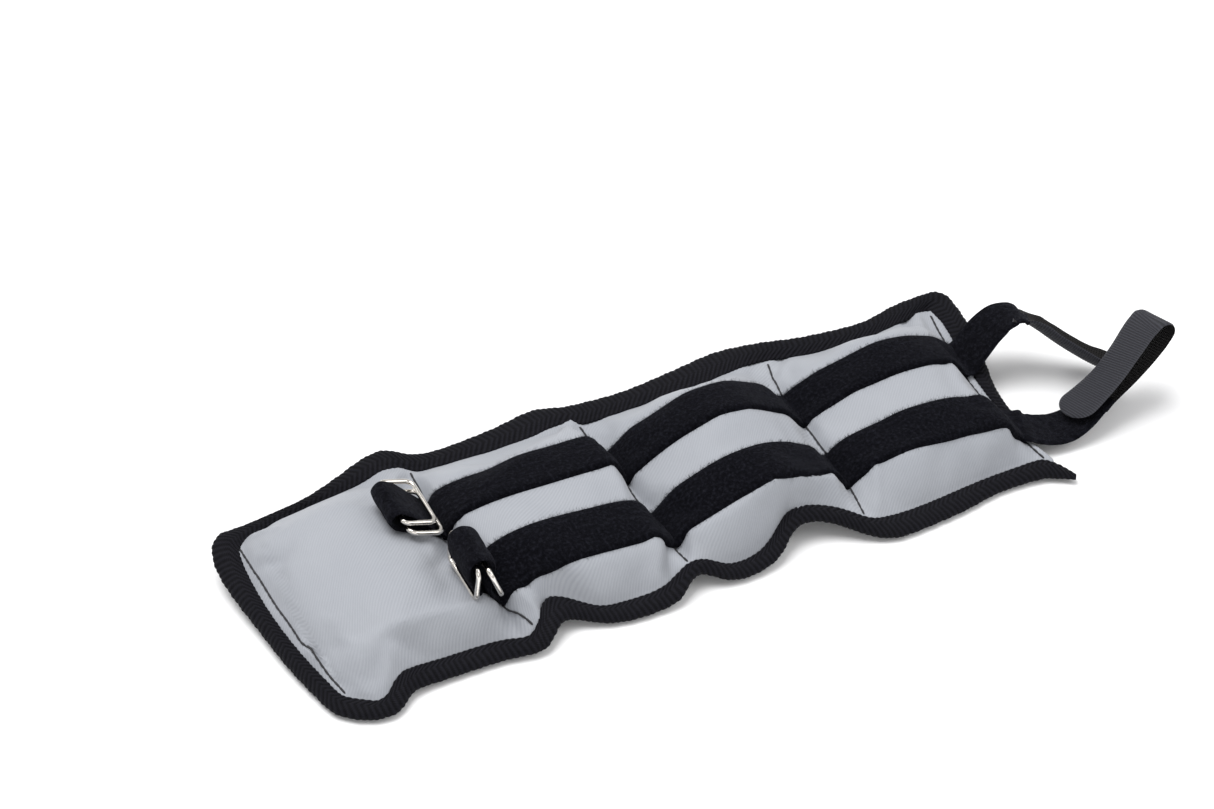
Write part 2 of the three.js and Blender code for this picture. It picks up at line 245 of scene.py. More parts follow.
# x of each seam at some y, from the front edge to the rear edge.
SEAM_LINES = [
    pchip([(-44, -142), (-16, -148), (12, -151), (36, -152.5)]),
    pchip([(-46, -71.5), (-33, -78), (-13, -82.5), (15, -83), (50, -82)]),
    pchip([(-45, -6.5), (-23, -8.5), (15, -9.8), (45, -11)]),
    pchip([(-49, 61.5), (-30, 64.5), (-8, 66), (25, 67), (46, 71)]),
    pchip([(-48, 142.5), (-25, 139.5), (0, 139), (25, 143), (46, 147)]),
]

# Inner edge of the binding: x, y and the height of the tape's top there.
FRONT_INNER = [
    (-143, -44.8, 5), (-137, -48.8, 4.6), (-131, -53, 4.8), (-128, -50.4, 6), (-124.6, -46.4, 8),
    (-119.6, -44.6, 7.6), (-102, -43.2, 5), (-84, -44, 5), (-71.5, -48, 6.6), (-68, -43, 9.4),
    (-65, -37.5, 11.4), (-58, -37, 9.4), (-50, -41.5, 6.4), (-44, -45, 5), (-30, -46, 4.6),
    (-21, -46.5, 6), (-12, -43.5, 8.6), (-7, -42.5, 10.6), (0, -44, 8.8), (6, -46, 5), (13, -46, 4.6),
    (22, -44.5, 6.2), (28.5, -41, 9), (33.5, -37.6, 11.6), (39, -36, 12.2), (50, -39, 11.2),
    (58, -43.5, 9.5), (66, -49, 6.2), (81, -49.5, 4.6), (123, -47, 4.6), (143, -48, 6),
]
REAR_INNER = [
    (-153, 37, 10), (-141, 43, 8.4), (-124, 47, 8.2), (-104, 48.5, 9.5), (-91, 49.5, 12.4),
    (-85, 50, 11.5), (-82, 49.5, 9.8), (-79, 47.5, 8.4), (-64, 46.5, 8.2), (-36, 45, 9.5), (-18, 46, 11),
    (-11, 43.5, 9.6), (7, 44.5, 8.4), (41, 43.5, 10.6), (60, 45.5, 11), (71.5, 46.5, 9.5), (87, 44, 8.4),
    (113, 41.5, 8.4), (134, 42.5, 11), (147, 46, 9.8),
]
# Outer edge of the binding: x, y and the height of the middle of its fold.
FRONT_OUTER = [
    (-147, -50, 2.2), (-140, -55.4, 2.2), (-132.6, -58, 2.2), (-126.4, -57.8, 2.2), (-123.6, -55, 2.8),
    (-121.4, -51.4, 3.4), (-109, -50.6, 2.6), (-86, -51, 2.4), (-72, -53.5, 2.6), (-66.5, -52.5, 4),
    (-63, -47.4, 6.6), (-58, -45.4, 6), (-52, -47.4, 4), (-43, -51.5, 2.4), (-30, -53.5, 2.2),
    (-17, -53.2, 3), (-12, -50.4, 6), (-8, -46.8, 8), (-3.5, -47.6, 7), (2, -50.8, 4.2),
    (11, -52.4, 2.6), (20, -51.6, 3), (29, -48.4, 5.4), (34, -43.8, 8.6), (40, -42.4, 9.6),
    (47, -44, 8.8), (55, -48.8, 5.8), (64.5, -55.5, 2.8), (73, -58.5, 2.2), (100, -56.8, 2.2),
    (121, -53.6, 2.2), (141, -55.4, 2.5),
]
REAR_OUTER = [
    (-156, 43.6, 12.4), (-151, 46.2, 8.6), (-139.2, 48.6, 7.4), (-123.9, 50.6, 8), (-105.3, 56, 9.6),
    (-96, 58.8, 11.2), (-86, 60, 12), (-80, 57.4, 9.4), (-74, 55.4, 8), (-67, 55.4, 7),
    (-44.5, 55.6, 8.6), (-24.5, 57.6, 10.2), (-12.5, 54, 9.8), (12, 54.6, 7.8), (37, 56, 9.4),
    (55, 57.5, 10.4), (72, 55.4, 10.4), (92, 52, 9.2), (118.5, 50.4, 8.2), (136.5, 51.6, 11.2),
    (157.5, 51.6, 12),
]
LEFT_INNER = [
    (-143.4, -45.4, 5), (-149.8, -18.7, 6.6), (-153.4, 5.6, 8.2), (-154.2, 28, 9.8),
    (-153.2, 36.6, 11.2)]
LEFT_OUTER = [
    (-148.6, -48.6, 2.2), (-154.8, -24, 2.8), (-158.6, -1.9, 4), (-162.6, 22, 6.6), (-163.2, 32, 9.2),
    (-161.6, 38.6, 12), (-158, 42.4, 13.4)]
RIGHT_INNER = [
    (148, 46.6, 9.8), (148.9, 38, 9.6), (147.3, 26, 9), (142.8, 3, 8), (141.4, -18, 6.8),
    (141.8, -31, 5.8)]
RIGHT_OUTER = [
    (157.6, 50.2, 11.4), (159, 44, 9), (157.4, 30, 8), (151.6, 7.5, 6), (148, -4, 5), (146.2, -16, 4),
    (146.6, -31, 3)]

# Height of the cuff's upper surface along four lines, over the straps where there are any.
LINES = {
    -32.8: [
        (-144, 6.2), (-141, 10), (-135, 15), (-125, 18), (-112, 19), (-99, 18), (-88, 15.5), (-82, 12.4),
        (-77.5, 9), (-74, 14.5), (-64, 19.5), (-47, 20.4), (-36, 19.4), (-25, 17.6), (-16, 15.6),
        (-11.5, 12.8), (-7.8, 9.4), (-4, 15.6), (8, 21), (22, 25), (32, 27.5), (42, 24.4), (54, 19),
        (60.5, 13), (64.2, 9.2), (69, 12.6), (77, 17.5), (94, 21.4), (112, 21.4), (127, 18.4),
        (135, 12.6), (140.2, 7.6)],
    -12.8: [
        (-148, 8.3), (-145, 12), (-139, 17), (-128, 20.6), (-114, 21.6), (-102, 20), (-94, 17),
        (-88, 13.4), (-82.5, 9.4), (-78.5, 16), (-73, 21.5), (-55, 24), (-38, 22.4), (-27, 20.7),
        (-17, 17.4), (-8.8, 9.8), (-4.5, 15.6), (3, 20), (20, 24.4), (32, 27), (44, 23.5), (55, 16.5),
        (65.6, 9.6), (71, 14.5), (84, 19), (98, 22.2), (113, 21.6), (124, 19.4), (132.5, 14.4),
        (139.2, 8)],
    4.75: [
        (-150, 9.3), (-147, 13), (-141, 18), (-130, 21.3), (-116, 22.3), (-104, 20.2), (-96, 17),
        (-89, 13.4), (-83, 9.8), (-79.5, 17), (-74, 22.5), (-61, 23.8), (-45, 23), (-30, 22.6),
        (-21, 21.4), (-15, 16.5), (-9.5, 10), (-5, 15), (4, 21), (20, 27), (30, 30), (37, 29), (47, 23),
        (58, 15.4), (66.3, 9.8), (71, 14), (82, 18), (95, 21), (108, 22.4), (118, 22), (127, 19.4),
        (133.6, 14.6), (139.3, 9)],
    24.7: [
        (-152, 10.6), (-149, 14), (-143, 18), (-132, 20.8), (-118, 21.8), (-106, 20.2), (-97, 17),
        (-89, 13.2), (-83, 9.8), (-79, 17), (-74, 21.5), (-61, 22.2), (-45, 21.4), (-30, 21.8),
        (-22, 20.2), (-16, 15.6), (-10.3, 10), (-5, 13.5), (2, 19), (14, 23.3), (27, 26.6), (36, 26.6),
        (48, 22), (58, 14.9), (66.9, 9.8), (72, 13.5), (80, 16.5), (93, 20), (107, 22.5), (121, 20.8),
        (133, 16.4), (143, 10)],
}
TAPE_TAIL = [(149.8, -62, 3), (146.4, -60.4, 2.6), (143.4, -57.4, 2.5)]
TAIL_INNER = [(150.8, -60.6, 3.4), (149.4, -57.3, 4), (146.2, -52.4, 5)]


RUN_STEPS = 144
PLAIN_END_STEPS, STRAP_END_STEPS = 46, 50
SEWN_DROP = 1.9  # from the top of the tape down to the middle of the sewn edge


def run(points, start, stop):
    """Points on a long edge of the binding, evenly spaced in x."""
    x, y, z = np.array(points, float).T
    xs = np.linspace(start, stop, RUN_STEPS)
    return np.stack([xs, pchip(zip(x, y))(xs), pchip(zip(x, z))(xs)], axis=1)


def edge_pairs():
    """Matching points on the inner and outer edges of the binding, from its loose tail at the front of the
    strap end, round the plain end, to where it is tucked under itself again."""
    inner = np.concatenate([
        TAIL_INNER, run(FRONT_INNER, 143, -141), spline(LEFT_INNER, PLAIN_END_STEPS),
        run(REAR_INNER, -151, 145), spline(RIGHT_INNER, STRAP_END_STEPS)])
    outer = np.concatenate([
        TAPE_TAIL, run(FRONT_OUTER, 141, -146), spline(LEFT_OUTER, PLAIN_END_STEPS),
        run(REAR_OUTER, -155, 154.5), spline(RIGHT_OUTER, STRAP_END_STEPS)])
    inner[:, 2] -= SEWN_DROP
    return inner, outer


POINT_STEP = 0.42  # between the binding's points along its length


def binding_lines():
    """The binding's inner and outer edges as evenly spaced lines."""
    inner, outer = edge_pairs()
    both = np.concatenate([(inner + outer) / 2, inner, outer], axis=1)
    line = spline(blur(both, 1.3, 0)[::2], 1600)
    line = evenly(line, int(lengths(line)[-1] / POINT_STEP))
    return line[:, 3:6], line[:, 6:9], lengths(line)


B_INNER, B_OUTER, BINDING_ALONG = binding_lines()
PLAIN_TURN = int(np.argmin(B_INNER[:, 0]))
STRAP_TURN = PLAIN_TURN + int(np.argmax(B_INNER[PLAIN_TURN:, 0]))


def outward(points):
    """Direction from the binding's inner edge to its outer edge at the place nearest each point."""
    nearest = np.argmin(((points[:, None, :2] - B_INNER[None, :, :2]) ** 2).sum(axis=2), axis=1)
    return unit(B_OUTER[nearest] - B_INNER[nearest])


def edge_curve(points, k):
    points = points[np.argsort(points[:, 0])]
    return lambda x: np.interp(x, points[:, 0], points[:, k])


LINE_CURVES = {y: pchip(points) for y, points in LINES.items()}
front_run = B_INNER[:PLAIN_TURN][(B_INNER[:PLAIN_TURN, 0] < 149) & (B_INNER[:PLAIN_TURN, 1] < -30)]
rear_run = B_INNER[PLAIN_TURN:STRAP_TURN][B_INNER[PLAIN_TURN:STRAP_TURN, 1] > 34]
FRONT_Y, FRONT_Z, REAR_Y, REAR_Z = [edge_curve(edge, k) for edge in (front_run, rear_run) for k in (1, 2)]
HALF_SANDWICH = 0.95  # from the middle of the sewn edge up to the face fabric
STRAPS_START = -80.0  # the surface lies lower than the lines by one strap beyond this x
POCKETS = 4


def surface_z(x, y):
    """Height of the face fabric at x, y."""
    under = STRAP_THICK * smoothstep((x - STRAPS_START) / 4)
    ys = np.stack([FRONT_Y(x)] + [np.full_like(x, line) for line in LINE_CURVES] + [REAR_Y(x)])
    zs = np.stack([FRONT_Z(x) + HALF_SANDWICH] + [curve(x) - under for curve in LINE_CURVES.values()]
                  + [REAR_Z(x) + HALF_SANDWICH])
    out = np.empty_like(x)
    for k in np.ndindex(x.shape):
        out[k] = pchip(zip(ys[(slice(None), *k)], zs[(slice(None), *k)]))(y[k])
    return out


# Folds in the face fabric: from x, y to x, y, how far it rises (or sinks, below 0) and half its width.
FOLDS = [
    (-117, -35, -131, -52, 1.6, 3.6), (-111, -41, -121, -37, -1.6, 3.0), (-75, -30, -66, -46, 1.5, 2.4),
    (-69.5, -30, -64.5, -38, -1.8, 2.4), (-106, 27, -99, 19, -1.6, 4.5), (-94, -11, -88, -3, -1.5, 3.6),
    (-12.5, -34, -15.5, -43, -2.4, 2.4), (-20, -32, -20, -44, 1.0, 3.0), (35, -35, 36.5, -41, -2.2, 2.8),
    (39, -36, 48, -43, 1.5, 2.4), (-150, 21, -143, 15, -1.0, 2.4), (-146, 38, -140, 32, 1.4, 3.0),
    (131, 36, 135, 43, -1.4, 2.2), (137, 35, 141, 43, 1.0, 2.2), (-22, 36, -14, 45, 1.2, 3.0),
    (-12.5, 34, -17, 42, -1.4, 2.0), (70, 36, 78, 44, -1.2, 2.4), (120, -30, 134, -45, 1.2, 3.2),
    (76, -32, 70, -46, 1.0, 2.6), (-96, 35, -84, 46, 1.4, 3.6),
]
FOLD_FADE = 3, 5  # a fold fades out below the first height, over the second
SEAM_LEVEL = 9.5
CROWN_LEAN = 0.30  # how far each pocket's crown leans over the seam after it, for each mm of its height
LEAN_START, LEAN_RUN = 0.4, 0.45  # parts of the pocket's length
SHOULDER, SHOULDER_AT, SHOULDER_HALF = 2.0, 0.87, 0.07  # the crown's extra height before that seam


def folded(x, y, z, along):
    """The surface with its folds pressed in and each crown leaning towards the strap end."""
    for x0, y0, x1, y1, rise, half in FOLDS:
        step = np.array([x1 - x0, y1 - y0], float)
        t = np.clip(((x - x0) * step[0] + (y - y0) * step[1]) / (step @ step), 0, 1)
        distance = np.hypot(x - x0 - t * step[0], y - y0 - t * step[1])
        z = z + rise * np.exp(-(distance / half) ** 2) * np.clip((z - FOLD_FADE[0]) / FOLD_FADE[1], 0, 1)
    height = np.maximum(z - SEAM_LEVEL, 0)
    z = z + SHOULDER * np.exp(-((along - SHOULDER_AT) / SHOULDER_HALF) ** 2) * np.minimum(height / 8, 1)
    lean = CROWN_LEAN * np.maximum(z - SEAM_LEVEL, 0) * smoothstep((along - LEAN_START) / LEAN_RUN)
    return x + lean, y, z


ROWS = 58
EVEN_STEPS = np.linspace(0, 1, 41)
COLUMN_STEPS = EVEN_STEPS - 0.055 * np.sin(2 * np.pi * EVEN_STEPS)  # closer together near a pocket's seams


def face_grid():
    """The face fabric's points, [column, row], and its seam columns."""
    t = np.linspace(0, 1, ROWS)
    columns, fractions, seam_columns = [], [], []
    for pocket in range(POCKETS):
        seam_columns.append(len(columns))
        for u in COLUMN_STEPS if pocket == POCKETS - 1 else COLUMN_STEPS[:-1]:
            y = -45 + 91 * t
            for _ in range(3):  # x follows from y, and y from where the edges are at that x
                x = (1 - u) * SEAM_LINES[pocket](y) + u * SEAM_LINES[pocket + 1](y)
                y = FRONT_Y(x) + (REAR_Y(x) - FRONT_Y(x)) * t
            columns.append(np.stack([x, y], axis=1))
            fractions.append(u)
    seam_columns.append(len(columns) - 1)
    flat = np.array(columns)
    z = surface_z(flat[..., 0], flat[..., 1])
    along = np.array(fractions)[:, None] + 0 * z
    grid = np.stack(folded(flat[..., 0], flat[..., 1], z, along), axis=2)
    # the strips between the end seams and the end bindings
    near_plain_end = B_INNER[(B_INNER[:, 0] < -143) & (np.abs(B_INNER[:, 1]) < 48)]
    left = end_strip(grid[0], near_plain_end, -1)
    right = end_strip(grid[-1], B_INNER[STRAP_TURN:], 1)
    seam_columns = [c + len(left) for c in seam_columns]
    grid = np.concatenate([left, grid, right])
    # the flange under the binding along the front and rear edges
    front, rear = [(grid[:, k] + FLANGE * outward(grid[:, k]) - [0, 0, 0.7])[:, None] for k in (0, -1)]
    return np.concatenate([front, grid, rear], axis=1), seam_columns


BARE_EDGE = 2.6  # of the fabric beyond the strap end's seam, where the tape stops short of the front corner


def end_strip(seam, inner, side):
    """Columns from an end seam to just under the end binding."""
    y = seam[:, 1]
    inner = inner[np.argsort(inner[:, 1])]
    x, z = [np.interp(y, inner[:, 1], inner[:, k]) for k in (0, 2)]
    bare = smoothstep((inner[0, 1] + 1 - y) / 4) if side > 0 else 0 * y
    x = x * (1 - bare) + (seam[:, 0] + BARE_EDGE) * bare
    edge = np.stack([x, y, z + HALF_SANDWICH], axis=1)
    beyond = edge + np.stack([side * (FLANGE - (FLANGE - 0.6) * bare), 0 * y, -1 + 0 * y], axis=1)
    middle = (seam + edge) / 2 + [0, 0, 0.5]
    return np.array([middle, edge, beyond] if side > 0 else [beyond, edge, middle])


CLOTH_FRAMES = 24


def settle(grid, seam_columns):
    """The pockets inflated as cloth that is held at its seams and edges, which puckers it."""
    nu, nv = grid.shape[:2]
    start = grid.reshape(-1, 3)
    mesh = bpy.data.meshes.new("settling")
    mesh.from_pydata(start * MM, [], grid_faces(nu, nv))
    obj = add("settling", mesh)
    held = np.zeros((nu, nv), bool)
    held[:, :2] = held[:, -2:] = True
    held[:seam_columns[0] + 1] = held[seam_columns[-1]:] = held[seam_columns] = True
    group = obj.vertex_groups.new(name="held")
    group.add(np.flatnonzero(held.ravel()).tolist(), 1.0, "REPLACE")
    cloth = obj.modifiers.new("cloth", "CLOTH")
    settings = cloth.settings
    settings.quality = 6
    settings.mass = 0.15
    settings.tension_stiffness = settings.compression_stiffness = 18
    settings.shear_stiffness = 8
    settings.bending_stiffness = 0.35
    settings.vertex_group_mass = "held"
    settings.shrink_min = -0.035
    settings.use_pressure = True
    settings.uniform_pressure_force = 2.2
    settings.effector_weights.gravity = 0
    cloth.collision_settings.use_collision = False
    cloth.point_cache.frame_start, cloth.point_cache.frame_end = 1, CLOTH_FRAMES
    scene = bpy.context.scene
    for f in range(1, CLOTH_FRAMES + 1):
        scene.frame_set(f)
    shaped = obj.evaluated_get(bpy.context.evaluated_depsgraph_get())
    points = np.empty(len(start) * 3)
    shaped.data.vertices.foreach_get("co", points)
    scene.frame_set(1)
    bpy.data.objects.remove(obj)
    return points.reshape(nu, nv, 3) / MM


PUCKER_CAP = 3.0
SWELL_KEPT, PUCKERS_KEPT = 0.35, 0.85


def puckered(grid, seam_columns):
    """The designed shape with the settled cloth's small folds and a third of its swell."""
    moved = settle(grid, seam_columns) - grid
    swell = soften(moved, 6, 4)
    change = SWELL_KEPT * swell + PUCKERS_KEPT * soften(moved - swell, 0.9, 0.9)
    size = np.linalg.norm(change, axis=2, keepdims=True)
    change *= np.minimum(1, PUCKER_CAP / np.maximum(size, 1e-9))
    # the plain end's stitches hold the cloth nearly flat
    from_stitches = np.abs(np.arange(len(grid)) - seam_columns[0])
    change *= (0.2 + 0.8 * smoothstep(from_stitches / 6))[:, None, None]
    return grid + change


GRID, SEAM_COLUMNS = face_grid()
SMOOTH = soften(GRID, 3, 3)
GRID = puckered(GRID, SEAM_COLUMNS)
NORMALS = grid_normals(GRID)


def along_cloth(axis):
    """Distance over the smooth cloth from the grid's first column or row."""
    steps = np.linalg.norm(np.diff(SMOOTH, axis=axis), axis=2)
    return np.insert(np.cumsum(steps, axis=axis), 0, 0, axis=axis)


UPWARD = along_cloth(1)
CLOTH_PLACE = np.stack([along_cloth(0).mean(axis=1)[:, None] + 0 * UPWARD, UPWARD, 0 * UPWARD], axis=2)

# The cuff is cut in the middle of pockets 2 and 3, so that each part holds one seam.
CUTS = [0, *[(SEAM_COLUMNS[k - 1] + SEAM_COLUMNS[k]) // 2 for k in (2, 3)], len(GRID) - 1]
CUT_X = [GRID[c, GRID.shape[1] // 2, 0] for c in CUTS[1:3]]
PANELS = {"left": (1, 2), "middle": (3,), "right": (4,)}
PARTS = list(PANELS)
SEAM_JOINTS = ["pocket_1_fold", "pocket_3_fold", "pocket_4_fold"]


def bend_at_seam(piece, part):
    """Finds the direction across the part's seam joint and bakes the piece's transform into its mesh."""
    number = PARTS.index(part)
    joint = SEAM_JOINTS[number]
    along = unit(np.cross(unit(np.array(JOINTS[joint]["axis"])), [0, 0, 1.0]))
    along = along if along[0] > 0 else -along
    blend_over(piece, along)


# Materials -------------------------------------------------------------------

class Look:
    """Builds one procedural material. Its place is the cloth's flat place, or the piece's own space."""

    def __init__(self, name, flat=True):
        self.material = bpy.data.materials.new(name)
        self.material.use_nodes = True
        self.tree = self.material.node_tree
        if flat:
            self.place = self.node("Attribute", attribute_name="cloth").outputs["Vector"]
        else:
            self.place = self.node("TexCoord").outputs["Object"]

    def feed(self, socket, value):
        """Links another node's output to a socket, or sets the socket itself."""
        if isinstance(value, bpy.types.NodeSocket):
            self.tree.links.new(value, socket)
        elif socket.type == "RGBA":
            socket.default_value = (*value, 1)
        else:
            socket.default_value = value

    def node(self, kind, **inputs):
        """A node with its settings and inputs; i0, i1 and so on are its inputs by number."""
        node = self.tree.nodes.new("ShaderNode" + kind)
        for key, value in inputs.items():
            if hasattr(node, key):
                setattr(node, key, value)
            else:
                self.feed(node.inputs[int(key[1:]) if key[1:].isdigit() else key], value)
        return node

    def maths(self, operation, a, b=0.0, c=0.0):
        return self.node("Math", operation=operation, i0=a, i1=b, i2=c).outputs[0]

    def ramp(self, value, *stops):
        node = self.node("ValToRGB", Fac=value)
        elements = node.color_ramp.elements
        while len(elements) < len(stops):
            elements.new(0.5)
        for element, (position, colour) in zip(elements, stops):
            element.position = position
            element.color = (*colour, 1)
        return node.outputs["Color"]

    def mix(self, factor, a, b, kind="MIX"):
        node = self.node("Mix", data_type="RGBA", blend_type=kind)
        for socket, value in ((node.inputs["Factor"], factor), (node.inputs[6], a), (node.inputs[7], b)):
            self.feed(socket, value)
        return node.outputs[2]

    def overlaid(self, value, amount, colour, stain):
        """The colour with another colour laid over it where `value` is high, for stains and for painted
        glints.
        """
        return self.mix(self.maths("MULTIPLY", value, amount), colour, stain)

    def noise(self, scale, detail=3.0, rough=0.55):
        node = self.node("TexNoise", Vector=self.place, Scale=scale, Detail=detail, Roughness=rough)
        return node.outputs["Fac"]

    def stripes(self, direction, pitch):
        """Rows of yarn: 0 to 1 to 0 every `pitch` mm along `direction` on the cloth."""
        dot = self.node("VectorMath", operation="DOT_PRODUCT", i0=self.place, i1=(*direction, 0))
        turn = self.maths("MULTIPLY", dot.outputs["Value"], 2 * math.pi / pitch)
        return self.maths("MULTIPLY_ADD", self.maths("SINE", turn), 0.5, 0.5)

    def weave(self, warp, weft):
        return self.maths("MULTIPLY", self.stripes((1, 0), warp), self.stripes((0, 1), weft))

    def ribs(self):
        """How high the surface stands on a modelled rib, which the cloth's places carry as z."""
        return self.node("SeparateXYZ", Vector=self.place).outputs["Z"]

    def bump(self, height, distance, strength=1.0, after=None):
        node = self.node("Bump", Height=height, Distance=distance, Strength=strength)
        if after is not None:
            self.feed(node.inputs["Normal"], after)
        return node.outputs["Normal"]

    def finish(self, **values):
        shader = self.tree.nodes["Principled BSDF"]
        for key, value in values.items():
            self.feed(shader.inputs[key.replace("_", " ")], value)
        return self.material


def face_look():
    """Light blue-grey coated polyester in a fine twill."""
    look = Look("face_fabric")
    weave = look.stripes((0.74, -0.67), 1.0)
    cloud = look.noise(0.035, 4)
    slub = look.noise(0.9, 2)
    base = look.ramp(cloud, (0.3, (0.297, 0.310, 0.340)), (0.7, (0.322, 0.335, 0.363)))
    yarn = look.ramp(weave, (0.0, (0.91, 0.913, 0.92)), (0.5, (0.985, 0.985, 0.985)),
                     (1.0, (1.03, 1.03, 1.03)))
    colour = look.overlaid(slub, 0.10, look.mix(1.0, base, yarn, "MULTIPLY"), (0.30, 0.32, 0.36))
    normal = look.bump(look.noise(0.22, 3), 0.0009, 0.22, look.bump(weave, 0.00014, 0.4))
    rough = look.maths("MULTIPLY_ADD", cloud, 0.16, 0.58)
    return look.finish(Base_Color=colour, Roughness=rough, Normal=normal, Sheen_Weight=0.18,
                       Sheen_Roughness=0.5, Specular_IOR_Level=0.35)


def back_look():
    """Black brushed lining."""
    look = Look("back_fabric")
    nap = look.noise(1.6, 4)
    colour = look.mix(nap, (0.010, 0.010, 0.013), (0.028, 0.028, 0.034))
    colour = look.overlaid(look.noise(0.05, 3), 0.5, colour, (0.035, 0.035, 0.04))
    normal = look.bump(look.maths("ADD", look.weave(0.9, 0.9), nap), 0.00025, 0.5)
    return look.finish(Base_Color=colour, Roughness=0.88, Normal=normal, Sheen_Weight=0.3,
                       Sheen_Roughness=0.6)


def binding_look():
    """Black herringbone tape, with painted highlights on the tops of its ribs and painted shade between them.
    """
    look = Look("binding_tape")
    fibre = look.noise(2.4, 3)
    # painted highlight on the rib tops and painted shade in the grooves, from the rib height
    colour = look.ramp(look.ribs(), (0.15, (0.0006, 0.0006, 0.001)), (0.6, (0.0026, 0.0026, 0.0044)),
                       (1.0, (0.0096, 0.0096, 0.0138)))
    colour = look.overlaid(fibre, 0.3, colour, (0.009, 0.0088, 0.012))
    colour = look.overlaid(look.noise(0.08, 3), 0.25, colour, (0.006, 0.0056, 0.007))
    yarn = look.stripes((0.35, 0.94), 0.55)
    normal = look.bump(look.maths("MULTIPLY_ADD", fibre, 0.5, yarn), 0.00018, 0.55)
    rough = look.maths("MULTIPLY_ADD", fibre, 0.2, 0.6)
    return look.finish(Base_Color=colour, Roughness=rough, Normal=normal, Sheen_Weight=0.02,
                       Sheen_Roughness=0.4, Specular_IOR_Level=0.09)


def velour_look():
    """Black loop velour with a brushed, mottled pile."""
    look = Look("loop_velour")
    pile = look.noise(0.75, 5, 0.7)
    patch = look.noise(0.2, 4)
    colour = look.ramp(pile, (0.34, (0.0007, 0.0007, 0.0014)), (0.5, (0.0024, 0.0024, 0.0042)),
                       (0.7, (0.014, 0.0145, 0.0205)))
    colour = look.overlaid(patch, 0.3, colour, (0.005, 0.005, 0.0075))
    fleck = look.ramp(look.noise(1.9, 1), (0.79, (0, 0, 0)), (0.86, (1, 1, 1)))
    colour = look.overlaid(fleck, 0.22, colour, (0.06, 0.06, 0.075))
    normal = look.bump(patch, 0.0012, 0.4, look.bump(pile, 0.0011, 0.9))
    return look.finish(Base_Color=colour, Roughness=0.95, Normal=normal, Sheen_Weight=0.05,
                       Sheen_Roughness=0.35, Sheen_Tint=(0.55, 0.58, 0.72), Specular_IOR_Level=0.06)


def tape_look():
    """Charcoal ribbed back of the hook tape."""
    look = Look("hook_tape_back")
    fibre = look.noise(2.2, 3)
    # painted highlight on the rib tops and painted shade between the ribs, from the rib height
    colour = look.ramp(look.ribs(), (0.1, (0.008, 0.008, 0.011)), (0.6, (0.0195, 0.020, 0.0265)),
                       (1.0, (0.032, 0.033, 0.043)))
    colour = look.overlaid(fibre, 0.3, colour, (0.045, 0.046, 0.056))
    normal = look.bump(look.maths("ADD", fibre, look.stripes((0, 1), 0.6)), 0.00012, 0.5)
    return look.finish(Base_Color=colour, Roughness=0.62, Normal=normal, Sheen_Weight=0.05,
                       Specular_IOR_Level=0.22)


def hooks_look():
    """Black hook side of the tape: rows of small hooks, a little brown where light comes through."""
    look = Look("hook_tape_hooks")
    rows = look.weave(1.1, 0.9)
    speck = look.noise(1.2, 3)
    colour = look.mix(rows, (0.0012, 0.0011, 0.0014), (0.0065, 0.0056, 0.006))
    # painted brown glints where light comes through the hooks, in random specks
    colour = look.overlaid(speck, 0.3, colour, (0.012, 0.009, 0.009))
    normal = look.bump(look.maths("MULTIPLY_ADD", speck, 0.3, rows), 0.0006, 0.8)
    return look.finish(Base_Color=colour, Roughness=0.6, Normal=normal, Specular_IOR_Level=0.22)


def nickel_look():
    """Bright nickel plate with faint drawing marks and a little tarnish."""
    look = Look("ring_wire")
    tarnish = look.noise(0.5, 4)
    look.place = look.node("VectorMath", operation="MULTIPLY", i0=look.place, i1=(0.3, 5, 1)).outputs[0]
    marks = look.noise(1.0, 2)
    return look.finish(
        Base_Color=look.mix(tarnish, (0.83, 0.80, 0.75), (0.70, 0.665, 0.62)), Metallic=1.0,
        Roughness=look.maths("MULTIPLY_ADD", tarnish, 0.14, 0.10), Normal=look.bump(marks, 0.00003, 0.1))


def thread_look():
    """Black polyester thread in two plies."""
    look = Look("thread")
    ply = look.stripes((0.8, 0.6), 0.34)
    colour = look.mix(ply, (0.003, 0.003, 0.004), (0.016, 0.016, 0.020))
    normal = look.bump(ply, 0.00008, 0.8)
    return look.finish(Base_Color=colour, Roughness=0.6, Normal=normal, Sheen_Weight=0.1)


def bag_look():
    """Tight plain-weave inner bag."""
    look = Look("bag_cloth", flat=False)
    look.place = look.node("VectorMath", operation="SCALE", i0=look.place, Scale=1000.0).outputs[0]
    weave = look.weave(0.7, 0.7)
    colour = look.mix(weave, (0.10, 0.10, 0.11), (0.19, 0.19, 0.20))
    return look.finish(Base_Color=colour, Roughness=0.85, Normal=look.bump(weave, 0.0002, 0.6))


def shot_look():
    """Fine iron shot."""
    look = Look("shot", flat=False)
    distance = look.node("TexVoronoi", Vector=look.place, Scale=560.0).outputs["Distance"]
    # painted highlight on the middle of each ball and painted shade in the gaps between them
    colour = look.ramp(distance, (0.0, (0.22, 0.22, 0.23)), (0.7, (0.05, 0.05, 0.055)))
    normal = look.bump(look.maths("SUBTRACT", 1.0, distance), 0.0012, 1.0)
    return look.finish(Base_Color=colour, Roughness=0.45, Metallic=0.8, Normal=normal)


def floor_look():
    look = Look("pale_floor", flat=False)
    cloud = look.node("TexNoise", Vector=look.place, Scale=1.2, Detail=2.0).outputs["Fac"]
    return look.finish(Base_Color=look.mix(cloud, (0.90, 0.90, 0.905), (0.93, 0.93, 0.935)), Roughness=0.8)


FACE, BACK, BINDING, VELOUR = face_look(), back_look(), binding_look(), velour_look()
TAPE, HOOKS, NICKEL, THREAD_LOOK = tape_look(), hooks_look(), nickel_look(), thread_look()
BAG, SHOT = bag_look(), shot_look()


# Face and back fabric --------------------------------------------------------

